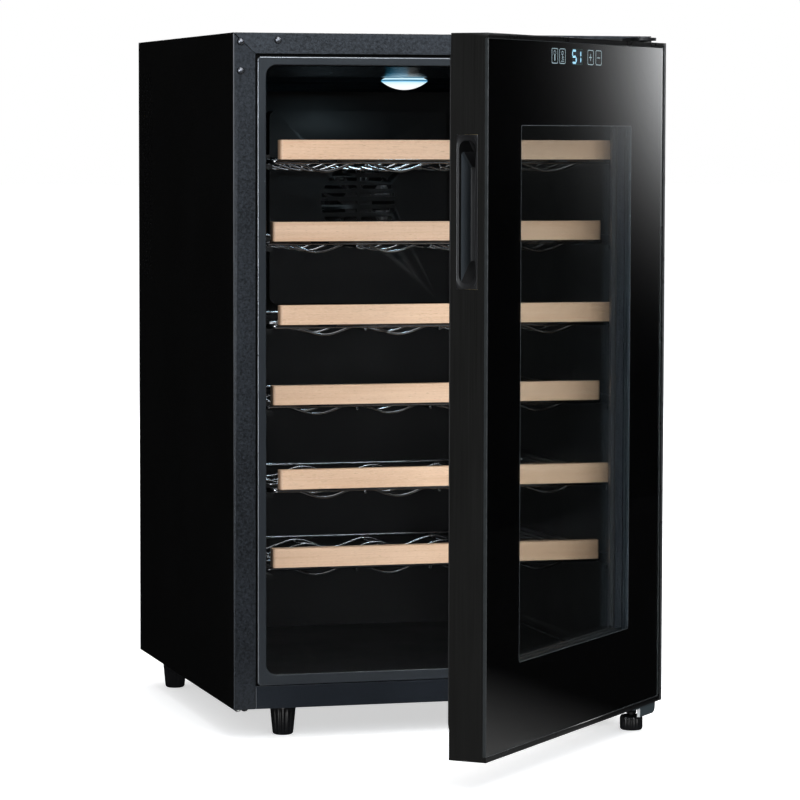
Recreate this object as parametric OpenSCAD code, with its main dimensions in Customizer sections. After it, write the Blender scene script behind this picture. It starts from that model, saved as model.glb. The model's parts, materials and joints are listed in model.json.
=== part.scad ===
// Thermoelectric wine cooler with a glazed door and six sliding shelves.
// Millimetres. +Z up, front faces -Y, +X to the right when facing the front.
// Origin: centre of the cabinet's footprint, on the floor under the feet.

/* [Cabinet] */
// Width over the side panels
body_w = 460; // [450:1:480]
// Depth from the front flange to the back panel
body_d = 480; // [470:1:500]
// Height of the cabinet without its feet
body_h = 710; // [700:1:715]
// Free height under the base
foot_h = 34; // [32:1:40]
// Sheet steel thickness
sheet = 1; // [0.8:0.1:1.2]
// Width of the folded front flange at the sides
flange_w = 23.5; // [20:0.5:26]
// Height of the folded front flange at the top
flange_top = 21.5; // [20:0.5:24]
// Height of the front rail under the opening
rail_h = 24; // [22:0.5:26]

/* [Liner] */
// Clear inside width
liner_w = 389; // [380:1:389]
// Clear inside depth behind the front flange
liner_d = 370; // [350:1:375]
// Height of the inside floor above the base of the cabinet
liner_floor = 36; // [34:1:40]
// Drop of the inside ceiling from the top of the cabinet
liner_ceiling = 33.6; // [32:0.2:36]
// Wall thickness
liner_t = 2; // [1.5:0.5:2.5]
// Radius of the inside corners
liner_r = 11; // [6:1:16]

/* [Door] */
// Width of the door
door_w = 458; // [450:1:458]
// Height of the door
door_h = 705; // [700:1:706]
// Thickness of the door with its glass
door_t = 40; // [38:1:44]
// Gap between the cabinet and the closed door
door_gap = 7; // [6.9:0.1:9]
// Opening angle as drawn
door_open = 48.3; // [40:0.1:60]
// Distance of the hinge axis from the door's hinge end
hinge_in = 19; // [18:0.5:20]
// Thickness of the outer glass
glass_t = 4; // [3:0.5:5]
// Clear window, width
window_w = 282; // [260:1:290]
// Clear window, height
window_h = 529; // [500:1:540]

/* [Shelves] */
// Distance from shelf to shelf
shelf_pitch = 86.6; // [84:0.1:87]
// Height of the top edge of the uppermost wooden front
shelf_top = 632.6; // [630:0.1:634]
// Height of the wooden front
front_h = 20.3; // [18:0.1:22]
// Length of the wooden front
front_w = 360; // [340:1:360]
// How far the shelves 1, 3 and 5 are pulled out as drawn
pulled = 33; // [0:1:33]
// Thickness of the wavy wire
wave_t = 3; // [2:0.5:4]
// Depth of the hollow that a bottle lies in
wave_a = 10; // [6:1:12]
// Distance from bottle to bottle
wave_p = 82; // [78:1:84]

/* [Hidden] */
W2 = body_w/2;
YF = -body_d/2;
YB = body_d/2;
ZB = foot_h;
ZT = foot_h + body_h;
// door box, closed
DX0 = -door_w/2 + 1;
DX1 = door_w/2 + 1;
DYI = YF - door_gap;          // inner plane
DYO = DYI - door_t;           // outer plane
DZ0 = ZB - 3;
DZ1 = DZ0 + door_h;
HX = DX1 - hinge_in;          // hinge axis
HY = (DYI + DYO)/2;
// window
WX0 = -window_w/2 - 6;
WX1 = window_w/2 - 6;
WZC = (DZ0 + DZ1)/2;
WZ0 = WZC - window_h/2;
WZ1 = WZC + window_h/2;
GX1 = DX1 - 11.5;             // right edge of the outer glass
// liner cavity
LX = liner_w/2;
LZ0 = ZB + liner_floor;
LZ1 = ZT - liner_ceiling;
LYB = YF + liner_d;
FX = W2 - flange_w;           // inner edge of the side flange
FZ = ZT - flange_top;         // inner edge of the top flange
// cooling unit
CX = 0;
CZ = 560;
N_BLADES = 7;

// ---------------------------------------------------------------- helpers
module bx(x0, x1, y0, y1, z0, z1) translate([x0, y0, z0]) cube([x1-x0, y1-y0, z1-z0]);

// flat outline in X-Z, thickened along +Y from y0 to y1
module xz(y0, y1) translate([0, y1, 0]) rotate([90, 0, 0]) linear_extrude(y1-y0) children();

// flat outline in Y-Z, thickened along X from x0 to x1
module yz(x0, x1) translate([x0, 0, 0]) rotate([90, 0, 90]) linear_extrude(x1-x0) children();

module rrect(x0, x1, z0, z1, r) {
  union() {
    translate([x0+r, z0]) square([x1-x0-2*r, z1-z0]);
    translate([x0, z0+r]) square([x1-x0, z1-z0-2*r]);
    for (x = [x0+r, x1-r], z = [z0+r, z1-r]) translate([x, z]) circle(r=r, $fn=48);
  }
}

// cylinder along Y
module cy(x, y0, y1, z, r, fn=48) translate([x, y1, z]) rotate([90, 0, 0]) cylinder(r=r, h=y1-y0, $fn=fn);
// cylinder along X
module cx(x0, x1, y, z, r, fn=32) translate([x0, y, z]) rotate([0, 90, 0]) cylinder(r=r, h=x1-x0, $fn=fn);
// cylinder along Z
module cz(x, y, z0, z1, r, fn=48) translate([x, y, z0]) cylinder(r=r, h=z1-z0, $fn=fn);

module door_pose() translate([HX, HY, 0]) rotate([0, 0, door_open]) translate([-HX, -HY, 0]) children();

// ---------------------------------------------------------------- cabinet shells
VENT_Y0 = 168; VENT_Z0 = 474; VENT_P = 9.5;
module side_holes() {
  for (i = [0:6], j = [0:24])
    translate([VENT_Y0 + i*8.2, VENT_Z0 + j*VENT_P + (i % 2)*VENT_P/2]) circle(r=1.9, $fn=16);
}
// panel on the left; the right one is its mirror image
module side_panel() {
  difference() {
    union() {
      // side sheet
      difference() {
        bx(-W2, -W2+sheet, YF, YB, ZB, ZT-sheet-0.2);
        yz(-W2-1, -W2+sheet+1) side_holes();
      }
      // folded front flange with a mitred top end
      xz(YF, YF+sheet) polygon([[-W2, ZB], [-FX, ZB], [-FX, FZ], [-W2, ZT-sheet-0.2]]);
      // return behind the flange
      bx(-FX-sheet, -FX, YF, YF+7, ZB, FZ-1);
      // bottom and rear returns
      bx(-W2, -W2+16, YF, YB, ZB, ZB+sheet);
      bx(-W2, -W2+14, YB-sheet, YB, ZB, ZT-sheet-0.2);
    }
    // hinge holes near the top corner
    for (p = [[-W2+8, ZT-9.7], [-W2+7.8, ZT-39.7]]) cy(p[0], YF-1, YF+2, p[1], 2.5);
    // bolt holes at the front corner of the bottom return
    for (x = [-W2+5.5, -W2+13]) cz(x, YF+7, ZB-1, ZB+2, 2.1, 24);
    // hole for the lower hinge, which fits either side
    cz(-HX-8, YF+22, ZB-1, ZB+2, 2.6, 24);
  }
}
module side_panel_left() color([0.07, 0.07, 0.08]) side_panel();
module side_panel_right() color([0.07, 0.07, 0.08]) mirror([1, 0, 0]) side_panel();

module top_panel() color([0.07, 0.07, 0.08]) difference() {
  union() {
    bx(-W2, W2, YF, YB, ZT-sheet, ZT);
    xz(YF, YF+sheet) polygon([[-W2+0.55, ZT], [-FX+0.35, FZ], [FX-0.35, FZ], [W2-0.55, ZT]]);
    bx(-FX+1.5, FX-1.5, YF, YF+7, FZ, FZ+sheet);
    bx(-W2+16, W2-16, YB-sheet, YB, ZT-15, ZT);
  }
  for (x = [-W2+48, W2-48]) cy(x, YF-1, YF+2, ZT-7.7, 2.5);
  for (x = [-W2+8, W2-8]) cy(x, YF-1, YF+2, ZT-9.7, 2.5);
}

// front rail closing the cabinet below the opening
module bottom_front_rail() color([0.17, 0.18, 0.2]) difference() {
  union() {
    bx(-FX+0.2, FX-0.2, YF, YF+2, ZB, ZB+rail_h);
    bx(-FX+0.2, FX-0.2, YF, YF+9, ZB+rail_h-2, ZB+rail_h);
    bx(-FX+0.2, FX-0.2, YF, YF+18, ZB, ZB+sheet);
    for (x = [-150, -50, 50, 150]) bx(x-1, x+1, YF+1, YF+9, ZB, ZB+rail_h-1);
  }
}

FOOT = [[-167, -200], [-206, 159], [206, 159]];
module base_plate() color([0.25, 0.25, 0.27]) difference() {
  union() {
    bx(-W2+sheet+0.2, W2-sheet-0.2, YF+19, YB-2.2, ZB+sheet, ZB+sheet+1.2);
    bx(-W2+sheet+0.2, -FX-1.2, YF+2, YF+19.1, ZB+sheet, ZB+sheet+1.2);
    bx(FX+1.2, W2-sheet-0.2, YF+2, YF+19.1, ZB+sheet, ZB+sheet+1.2);
    // stiffening folds
    for (x = [-W2+sheet+0.2, W2-sheet-1.4]) bx(x, x+1.2, YF+20, YB-3, ZB+sheet, ZB+sheet+12);
    // threaded bosses for the feet
    for (p = FOOT) cz(p[0], p[1], ZB+sheet, ZB+20, 8);
  }
  for (p = FOOT) cz(p[0], p[1], ZB-1, ZB+24, 4.1);
  for (x = [-W2+5.5, -W2+13, W2-5.5, W2-13]) cz(x, YF+7, ZB-1, ZB+4, 2.1, 24);
  for (s = [-1, 1], p = HSCR) cz(s*p[0], p[1], ZB-1, ZB+4, 2.6, 24);
}
HSCR = [[HX-16, YF+22], [HX+8, YF+22], [HX-4, YF+50]];

module back_panel() color([0.3, 0.3, 0.32]) difference() {
  bx(-W2+sheet+0.2, W2-sheet-0.2, YB-2.2, YB-1, ZB+sheet, ZT-sheet-0.2);
  // outlet slots behind the fan
  for (j = [0:12], s = [-1, 1])
    bx(s > 0 ? 3 : -53, s > 0 ? 53 : -3, YB-4, YB+1, CZ-54+j*9, CZ-54+j*9+4);
  // inlet slots
  for (j = [0:5], s = [-1, 1]) bx(s*150-30, s*150+30, YB-4, YB+1, CZ-40+j*14, CZ-40+j*14+4);
  // cooling of the electronics bay
  for (j = [0:4]) bx(-60, 60, YB-4, YB+1, 90+j*12, 94+j*12);
  cy(-170, YB-5, YB+2, 110, 7.1);
  for (p = SCREWS) cy(p[0], YB-5, YB+2, p[1], 1.7, 24);
}
SCREWS = [[-200, 60], [0, 60], [200, 60], [-200, 300], [200, 300], [-200, 500], [200, 500], [-200, 715], [0, 715], [200, 715]];
module back_panel_screws() color([0.65, 0.65, 0.68]) for (p = SCREWS) union() {
  difference() {
    cy(p[0], YB-1, YB+1.4, p[1], 3.8, 32);
    bx(p[0]-2.6, p[0]+2.6, YB+0.7, YB+2, p[1]-0.4, p[1]+0.4);
    bx(p[0]-0.4, p[0]+0.4, YB+0.7, YB+2, p[1]-2.6, p[1]+2.6);
  }
  cy(p[0], YB-7, YB-1, p[1], 1.6, 24);
}

// ---------------------------------------------------------------- inside
function wood_top(k) = shelf_top - (k-1)*shelf_pitch;
function wood_bot(k) = wood_top(k) - front_h;
DUCT_Z0 = CZ-115; DUCT_Z1 = CZ+105;
module inner_liner() color([0.09, 0.09, 0.1]) union() {
  difference() {
    union() {
      xz(YF+1, LYB+liner_t) rrect(-LX-liner_t, LX+liner_t, LZ0-liner_t, LZ1+liner_t, liner_r+liner_t);
      // front lip
      xz(YF+0.6, YF+2.6) rrect(-LX-9.4, LX+9.4, LZ0-11.6, LZ1+8.8, 4);
    }
    xz(YF-1, LYB) rrect(-LX, LX, LZ0, LZ1, liner_r);
    // opening in front of the cold side sink
    bx(-48, 48, LYB-1, LYB+liner_t+1, CZ-48, CZ+48);
    // lamp and fan wiring hole
    cy(60, LYB-1, LYB+liner_t+1, LZ1-12, 4, 24);
  }
  // ledges and guide ribs for the shelves
  for (k = [1:6], s = [-1, 1]) {
    z = wood_bot(k);
    bx(s > 0 ? LX-11 : -LX-0.5, s > 0 ? LX+0.5 : -LX+11, YF+18, LYB-8, z-10.3, z-5.3);
    bx(s > 0 ? LX-8 : -LX-0.5, s > 0 ? LX+0.5 : -LX+8, YF+18, LYB-8, z+0.6, z+4.6);
  }
}

module insulation_foam() color([0.93, 0.88, 0.6]) difference() {
  union() {
    bx(-W2+sheet+0.3, W2-sheet-0.3, YF+20, 158, ZB+14, ZT-sheet-0.3);
    bx(-W2+sheet+0.3, W2-sheet-0.3, 157, YB-2.5, ZB+14, 440);
    bx(-W2+18, W2-18, YF+20, 150, ZB+2.4, ZB+15);
  }
  xz(YF, LYB+liner_t+0.2) rrect(-LX-liner_t-0.2, LX+liner_t+0.2, LZ0-liner_t-0.2, LZ1+liner_t+0.2, liner_r+liner_t);
  // pocket for the cold side sink
  bx(-62, 62, LYB, 160, CZ-62, CZ+62);
  // electronics bay
  bx(-110, 110, 182, YB, ZB+14.5, 190);
  bx(-185, -108, 205, YB, 90, 130);
  // pockets for the threaded bosses
  for (p = FOOT) cz(p[0], p[1], ZB, ZB+34, 8.6);
  cy(60, LYB, 170, LZ1-12, 4.5, 24);
  for (p = SCREWS) cy(p[0], YB-9, YB, p[1], 2.2, 24);
}

// housing of the lamp, lower towards the back
CP = [[-222, 709.6], [-160, 700.8], [-30, 700.8], [-24, 696.8], [4, 696.8], [8, 693.4], [36, 693.4], [40, 690], [68, 690], [72, 686.6], [104, 686.6]];
LAMP = [-2, -88, 700.8];
module ceiling_panel() color([0.1, 0.11, 0.13]) difference() {
  intersection() {
   xz(YF, LYB) rrect(-LX+1.2, LX-1.2, LZ0, LZ1-0.3, liner_r);
   union() {
    yz(-LX+1.2, LX-1.2) polygon(concat([for (p = CP) p], [[106, 686.6], [106, 708.6], [104, 708.6], [104, 688.6]],
       [for (i = [9:-1:1]) [CP[i][0]+(i % 2 == 0 ? 2 : 0.3), CP[i][1]+2]], [[-210, 710.2], [-222, 710.2]]));
    // ends
    for (x = [-LX+1.2, LX-3.2]) yz(x, x+2) polygon(concat([for (p = CP) p], [[104, 710], [-222, 710.2]]));
   }
  }
  cz(LAMP[0], LAMP[1], LAMP[2]-3, LAMP[2]+5, 22);
}
module lamp_lens() color([0.8, 0.95, 1]) difference() {
  union() {
    // shallow dome
    intersection() {
      translate([LAMP[0], LAMP[1], LAMP[2]-14.6+43.3]) sphere(r=43.3, $fn=96);
      cz(LAMP[0], LAMP[1], LAMP[2]-16, LAMP[2]-5, 40, 64);
    }
    // rim and the narrower collar above it
    cz(LAMP[0], LAMP[1], LAMP[2]-5.1, LAMP[2]-2.8, 27.2, 96);
    cz(LAMP[0], LAMP[1], LAMP[2]-2.9, LAMP[2]-0.1, 25.6, 96);
    cz(LAMP[0], LAMP[1], LAMP[2]-0.5, LAMP[2]+3, 21.6, 64);
  }
  translate([LAMP[0], LAMP[1], LAMP[2]-14.6+43.3]) intersection() {
    sphere(r=41.3, $fn=96);
    translate([0, 0, -42]) cylinder(r=20, h=50, $fn=64);
  }
}
module led_board() color([0.85, 0.9, 0.85]) union() {
  bx(LAMP[0]-24, LAMP[0]+24, LAMP[1]-24, LAMP[1]+24, LAMP[2]+4.4, LAMP[2]+6);
  for (dx = [-12, 0, 12], y = [-10, 10]) let (x = LAMP[0]+dx) bx(x-2.5, x+2.5, LAMP[1]+y-2.5, LAMP[1]+y+2.5, LAMP[2]+3.2, LAMP[2]+4.5);
  bx(LAMP[0]-5, LAMP[0]+5, LAMP[1]+14, LAMP[1]+23, LAMP[2]+5.9, LAMP[2]+8.4);
}

module air_duct_cover() color([0.11, 0.11, 0.12]) difference() {
  xz(LYB-19, LYB-0.1) rrect(-105, 105, DUCT_Z0, DUCT_Z1, 8);
  xz(LYB-17, LYB) rrect(-103, 103, DUCT_Z0+2, DUCT_Z1-2, 6);
  // round grille
  for (j = [-4:4]) let (h = sqrt(max(0, 44*44 - (j*9)*(j*9))))
    for (s = [-1, 1]) bx(s > 0 ? 2 : -h, s > 0 ? h : -2, LYB-20, LYB-16, CZ+j*9-2, CZ+j*9+2);
  // outlets above and below
  for (x = [-80:20:80]) {
    bx(x-6, x+6, LYB-14, LYB-4, DUCT_Z1-4, DUCT_Z1+1);
    bx(x-6, x+6, LYB-14, LYB-4, DUCT_Z0-1, DUCT_Z0+4);
  }
}

// ---------------------------------------------------------------- fans and cooling unit
// axis along Y through (CX, CZ)
module fan_frame(y0, y1, s, r) color([0.08, 0.08, 0.08]) union() {
  difference() {
    xz(y0, y1) rrect(CX-s/2, CX+s/2, CZ-s/2, CZ+s/2, 5);
    cy(CX, y0-1, y1+1, CZ, r+1.5, 96);
    for (x = [-1, 1], z = [-1, 1]) cy(CX+x*(s/2-5), y0-1, y1+1, CZ+z*(s/2-5), 2.1, 24);
  }
  // motor seat on four struts
  for (a = [45:90:359]) translate([CX, y1-1.5, CZ]) rotate([0, a, 0]) translate([14, 0, -2]) cube([r-11, 1.5, 4]);
  difference() {
    union() {
      cy(CX, y1-2, y1, CZ, 17);
      cy(CX, y0+3, y1-1, CZ, 1.5, 32);
    }
  }
}
module fan_rotor(y0, y1, r) color([0.14, 0.14, 0.15]) difference() {
  union() {
    cy(CX, y0, y1, CZ, 17.5, 64);
    for (i = [0:N_BLADES-1]) intersection() {
      translate([CX, (y0+y1)/2, CZ]) rotate([0, i*360/N_BLADES, 0]) rotate([36, 0, 0]) translate([15, -0.75, -14]) cube([r-15, 1.5, 28]);
      cy(CX, y0, y1, CZ, r, 96);
    }
  }
  cy(CX, y0-1, y1+1, CZ, 1.56, 32);
}
module inner_fan_frame() fan_frame(LYB-16.5, LYB-1, 92, 42);
module inner_fan_rotor() fan_rotor(LYB-14.5, LYB-3.6, 42);
module rear_fan_frame() fan_frame(195, 219, 120, 56);
module rear_fan_rotor() fan_rotor(199, 216.3, 56);

module cold_side_sink() color([0.75, 0.77, 0.8]) union() {
  bx(-60, 60, 152, 157, CZ-60, CZ+60);
  for (i = [0:19]) bx(-60+i*6.2, -58.8+i*6.2, LYB+3, 152.5, CZ-60, CZ+60);
}
module thermoelectric_module() color([0.92, 0.92, 0.9]) union() {
  bx(-20, 20, 157, 158, CZ-20, CZ+20);
  bx(-20, 20, 159.8, 160.8, CZ-20, CZ+20);
  for (i = [0:5], j = [0:5]) bx(-18+i*6.4, -14+i*6.4, 157.9, 159.9, CZ-18+j*6.4, CZ-14+j*6.4);
}
module hot_side_sink() color([0.72, 0.73, 0.76]) union() {
  bx(-70, 70, 160.8, 166, CZ-75, CZ+75);
  for (i = [0:23]) bx(-70+i*6, -68.8+i*6, 165.5, 195, CZ-75, CZ+75);
}
module power_supply() color([0.6, 0.62, 0.64]) difference() {
  union() {
    bx(-85, 85, 182, 184, 52, 182);
    bx(-78, 78, 186, 224, 58, 176);
    for (x = [-70, 70], z = [64, 170]) cy(x, 183.5, 186.5, z, 4, 32);
  }
  bx(-76.5, 76.5, 187.5, 222.5, 59.5, 174.5);
  for (i = [0:9]) bx(-60+i*13, -56+i*13, 221, 226, 80, 150);
}
module cord_gland() color([0.05, 0.05, 0.05]) difference() {
  union() {
    cy(-170, YB-8, YB+6, 110, 7, 48);
    cy(-170, YB-1, YB+2.5, 110, 10, 48);
    cy(-170, YB-8, YB-2.2, 110, 8.6, 6);
  }
  cy(-170, YB-9, YB+7, 110, 3.6, 48);
}

// ---------------------------------------------------------------- hinges and fasteners
UPZ = DZ1 + 2.5;              // underside of the upper hinge arm
module upper_hinge() color([0.2, 0.2, 0.22]) difference() {
  union() {
    // L-shaped plate on the flange
    bx(W2-15.5, W2-0.5, YF-2, YF, ZT-48, ZT-2.5);
    bx(W2-56, W2-0.5, YF-2, YF, ZT-15, ZT-2.5);
    // arm over the door
    bx(W2-33, W2-5, HY, YF, UPZ, UPZ+3);
    cz(HX, HY, UPZ, UPZ+3, 14, 64);
    // gusset
    bx(W2-33, W2-5, YF-5, YF-2, UPZ-0.2, UPZ+0.5);
    // pin
    cz(HX, HY, DZ1-13, UPZ+1, 3.5, 48);
    cz(HX, HY, UPZ+2.5, UPZ+4.6, 5.2, 48);
  }
  for (p = [[W2-8, ZT-9.7], [W2-7.8, ZT-39.7], [W2-48, ZT-7.7]]) cy(p[0], YF-4, YF+1, p[1], 2.1, 32);
}
LOZ = ZB - 10;                // underside of the lower hinge arm
module lower_hinge() color([0.2, 0.2, 0.22]) difference() {
  union() {
    bx(HX-14, HX+14, HY, YF+8, LOZ, LOZ+3);
    cz(HX, HY, LOZ, LOZ+3, 14, 64);
    bx(HX-24, HX+16, YF+1, YF+5, LOZ, ZB);
    bx(HX-24, HX+16, YF+1, YF+60, ZB-3, ZB);
    cz(HX, HY, LOZ+1, DZ0+13, 3.5, 48);
    cz(HX, HY, LOZ+2.5, LOZ+4.2, 5, 48);
    // pressed nut of the foot
    cz(HX-8.5, HY-1, LOZ-6, LOZ+0.5, 5.5, 32);
  }
  // hole of the foot
  cz(HX-8.5, HY-1, LOZ-7, LOZ+4, 3.1, 32);
  for (p = HSCR) cz(p[0], p[1], ZB-4, ZB+1, 2.6, 32);
}
module screw_y(x, y, z, l) union() {   // head towards -Y
  difference() {
    cy(x, y-1.2, y, z, 3.9, 32);
    bx(x-2.6, x+2.6, y-2, y-0.6, z-0.4, z+0.4);
    bx(x-0.4, x+0.4, y-2, y-0.6, z-2.6, z+2.6);
  }
  cy(x, y-0.5, y+l, z, 2, 32);
}
module screw_up(x, y, z, l, r=4.2, s=2.5) union() {  // head below
  difference() {
    cz(x, y, z-2, z, r, 32);
    cz(x, y, z-3, z-0.9, r*0.45, 6);
  }
  cz(x, y, z-0.5, z+l, s, 32);
}
module hinge_screws() color([0.12, 0.12, 0.13]) {
  for (p = [[W2-8, ZT-9.7], [W2-7.8, ZT-39.7], [W2-48, ZT-7.7]]) screw_y(p[0], YF-2, p[1], 10);
  for (p = HSCR) screw_up(p[0], p[1], ZB-3, 5.1);
}
module hinge_hole_plugs() color([0.06, 0.06, 0.07])
  for (p = [[-W2+8, ZT-9.7], [-W2+7.8, ZT-39.7], [-W2+48, ZT-7.7]]) union() {
    cy(p[0], YF-0.5, YF, p[1], 3.9, 48);
    intersection() {
      translate([p[0], YF+7.4, p[1]]) sphere(r=8.8, $fn=64);
      cy(p[0], YF-2, YF-0.4, p[1], 3.5, 48);
    }
    cy(p[0], YF-0.2, YF+6, p[1], 2.3, 32);
  }
module base_bolts() color([0.5, 0.5, 0.52])
  for (x = [-W2+5.5, -W2+13]) union() {
    intersection() {
      translate([x, YF+7, ZB+1.6]) sphere(r=4.6, $fn=48);
      cz(x, YF+7, ZB-4, ZB, 3.6, 32);
    }
    cz(x, YF+7, ZB-0.2, ZB+9, 2, 24);
  }

// ---------------------------------------------------------------- feet
module tall_foot(p) color([0.09, 0.09, 0.1]) translate([p[0], p[1], 0])
  rotate_extrude($fn=64) polygon([[0, 0], [9.6, 0], [11.2, 1.6], [14.2, ZB-1.8], [13.8, ZB-0.3], [4, ZB-0.3], [4, ZB+17], [0, ZB+17]]);
module foot_front_left() tall_foot(FOOT[0]);
module foot_rear_left() tall_foot(FOOT[1]);
module foot_rear_right() tall_foot(FOOT[2]);
module foot_hinge_side() color([0.09, 0.09, 0.1]) translate([HX-8.5, HY-1, 0]) union() {
  difference() {
    union() {
      translate([0, 0, 1.2]) cylinder(r=12.3, h=13.6, $fn=64);
      cylinder(r1=11.2, r2=12.3, h=1.3, $fn=64);
      translate([0, 0, 14.7]) cylinder(r1=12.3, r2=11, h=1.3, $fn=64);
    }
    for (i = [0:15]) rotate([0, 0, i*22.5]) translate([13.2, 0, 2]) cylinder(r=1.7, h=18, $fn=24);
  }
  translate([0, 0, 15]) cylinder(r=3, h=LOZ+4.8-15, $fn=32);
}

// ---------------------------------------------------------------- door (drawn closed, then turned)
CH = 6;
module door_block(o, y0, y1) {
  // o: distance inside the outer faces
  translate([0, 0, DZ0+o]) linear_extrude(DZ1-DZ0-2*o)
    polygon([[DX0+o, y0], [DX1-o, y0], [DX1-o, min(y1, DYI-CH)], [DX1-o-(y1 > DYI-CH ? CH-(DYI-y1) : 0), y1], [DX0+o, y1]]);
}
RX0 = WX0-13; RX1 = WX1+13; RZ0 = WZ0-13; RZ1 = WZ1+13;   // sealed glazing unit
GY = DYO + glass_t;                                        // back of the outer glass
HZ0 = 490; HZ1 = 638.5;                                    // handle cup
module door_frame() color([0.13, 0.13, 0.13]) door_pose() difference() {
  union() {
    difference() {
      door_block(0, GY, DYI);
      door_block(2.2, GY-1, DYI-2.4);
      bx(RX0-22, RX1+22, DYI-5, DYI+1, RZ0-22, RZ1+22);
    }
    // front lips around the glass: top, bottom and hinge side
    bx(DX0, DX1, DYO, GY+0.1, DZ1-4.6, DZ1);
    bx(DX0, DX1, DYO, GY+0.1, DZ0, DZ0+4.8);
    bx(GX1+0.3, DX1, DYO, GY+0.1, DZ0, DZ1);
  }
  // cut-out for the handle cup
  bx(DX0-1, DX0+5, DYI-29.5, DYI-6, HZ0-0.2, HZ1+0.2);
  // seats of the hinge bushes
  cz(HX, HY, DZ0-1, DZ0+5, 6.05);
  cz(HX, HY, DZ1-5, DZ1+1, 6.05);
  // screw holes of the stop plate
  for (x = [HX-48, HX-28]) cz(x, HY-4, DZ0-1, DZ0+4, 1.6, 24);
}
module door_core() color([0.9, 0.88, 0.7]) door_pose() difference() {
  door_block(2.4, GY+0.4, DYI-2.6);
  bx(RX0-0.3, RX1+0.3, GY-1, DYI+1, RZ0-0.3, RZ1+0.3);
  bx(RX0-14, RX1+14, DYI-8, DYI+1, RZ0-14, RZ1+14);
  // handle cup pocket
  bx(DX0-1, DX0+27, DYI-33, DYI-2, HZ0-2, HZ1+2);
  // electronics pocket behind the glass
  bx(-95, 75, GY, GY+16, DZ1-38, DZ1-6);
  cz(HX, HY, DZ0-1, DZ0+18, 6.4);
  cz(HX, HY, DZ1-18, DZ1+1, 6.4);
  for (x = [HX-48, HX-28]) cz(x, HY-4, DZ0-1, DZ0+14, 2, 24);
}
module outer_glass() color([0.04, 0.04, 0.05, 0.6]) door_pose()
  bx(DX0, GX1, DYO, GY, DZ0+5, DZ1-4.8);
KEYZ = DZ1 - 19;
KEYS = [-68, -47.3, 24.7, 45.6];
module glass_border() color([0.02, 0.02, 0.02]) door_pose() difference() {
  bx(DX0+2.4, GX1-0.4, GY, GY+0.3, DZ0+5.4, DZ1-5.2);
  xz(GY-1, GY+1) rrect(WX0, WX1, WZ0, WZ1, 3);
  bx(-22, 5, GY-1, GY+1, KEYZ-8, KEYZ+8);
}
SP = 16;                       // distance between the two panes
module spacer_frame() color([0.35, 0.36, 0.38]) door_pose() difference() {
  bx(RX0, RX1, GY+0.3, GY+SP, RZ0, RZ1);
  xz(GY-1, GY+SP+1) rrect(WX0+0.5, WX1-0.5, WZ0+0.5, WZ1-0.5, 3);
  // hollow profile filled with drying agent
  difference() {
    bx(RX0+2, RX1-2, GY+2.3, GY+SP-2, RZ0+2, RZ1-2);
    bx(WX0-2, WX1+2, GY+2, GY+SP-1, WZ0-2, WZ1+2);
  }
}
module inner_glass() color([0.75, 0.85, 0.85, 0.4]) door_pose()
  bx(RX0, RX1, GY+SP, GY+SP+4, RZ0, RZ1);
module door_inner_trim() color([0.12, 0.12, 0.13]) door_pose() difference() {
  union() {
    xz(DYI-2.2, DYI) rrect(RX0-21.5, RX1+21.5, RZ0-21.5, RZ1+21.5, 4);
    xz(DYI-7.8, DYI-2) rrect(RX0-13.8, RX1+13.8, RZ0-13.8, RZ1+13.8, 4);
    xz(GY+SP+4, DYI-2) rrect(RX0-0.2, RX1+0.2, RZ0-0.2, RZ1+0.2, 4);
  }
  xz(GY+10, DYI+1) rrect(WX0, WX1, WZ0, WZ1, 3);
  // splayed mouth on the inside of the door
  hull() {
    xz(DYI-12, DYI-11.9) rrect(WX0, WX1, WZ0, WZ1, 3);
    xz(DYI+0.9, DYI+1) rrect(WX0-24.9, WX1+24.9, WZ0-24.9, WZ1+24.9, 3);
  }
}
// hollow seal ring, 18 mm wide
GA = 213; GL = 219; GZ0 = 48; GZ1 = 728;
module ring(e, w, y0, y1, r) difference() {
  xz(y0, y1) rrect(-GL+e, GA-e, GZ0+e, GZ1-e, r);
  xz(y0-1, y1+1) rrect(-GL+e+w, GA-e-w, GZ0+e+w, GZ1-e-w, max(1, r-w));
}
module door_gasket() color([0.16, 0.16, 0.17]) door_pose() difference() {
  union() {
    ring(0, 18, DYI, DYI+2, 10);
    ring(2, 14, DYI+1.9, DYI+door_gap-0.4, 9);
  }
  ring(3.2, 11.6, DYI+1.6, DYI+door_gap-1.4, 8);
}
module gasket_magnets() color([0.3, 0.25, 0.22]) door_pose() union() {
  for (x = [-GL+9, GA-9]) bx(x-4, x+4, DYI+1.8, DYI+door_gap-1.6, GZ0+20, GZ1-20);
  for (z = [GZ0+9, GZ1-9]) bx(-GL+20, GA-20, DYI+1.8, DYI+door_gap-1.6, z-4, z+4);
}
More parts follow.
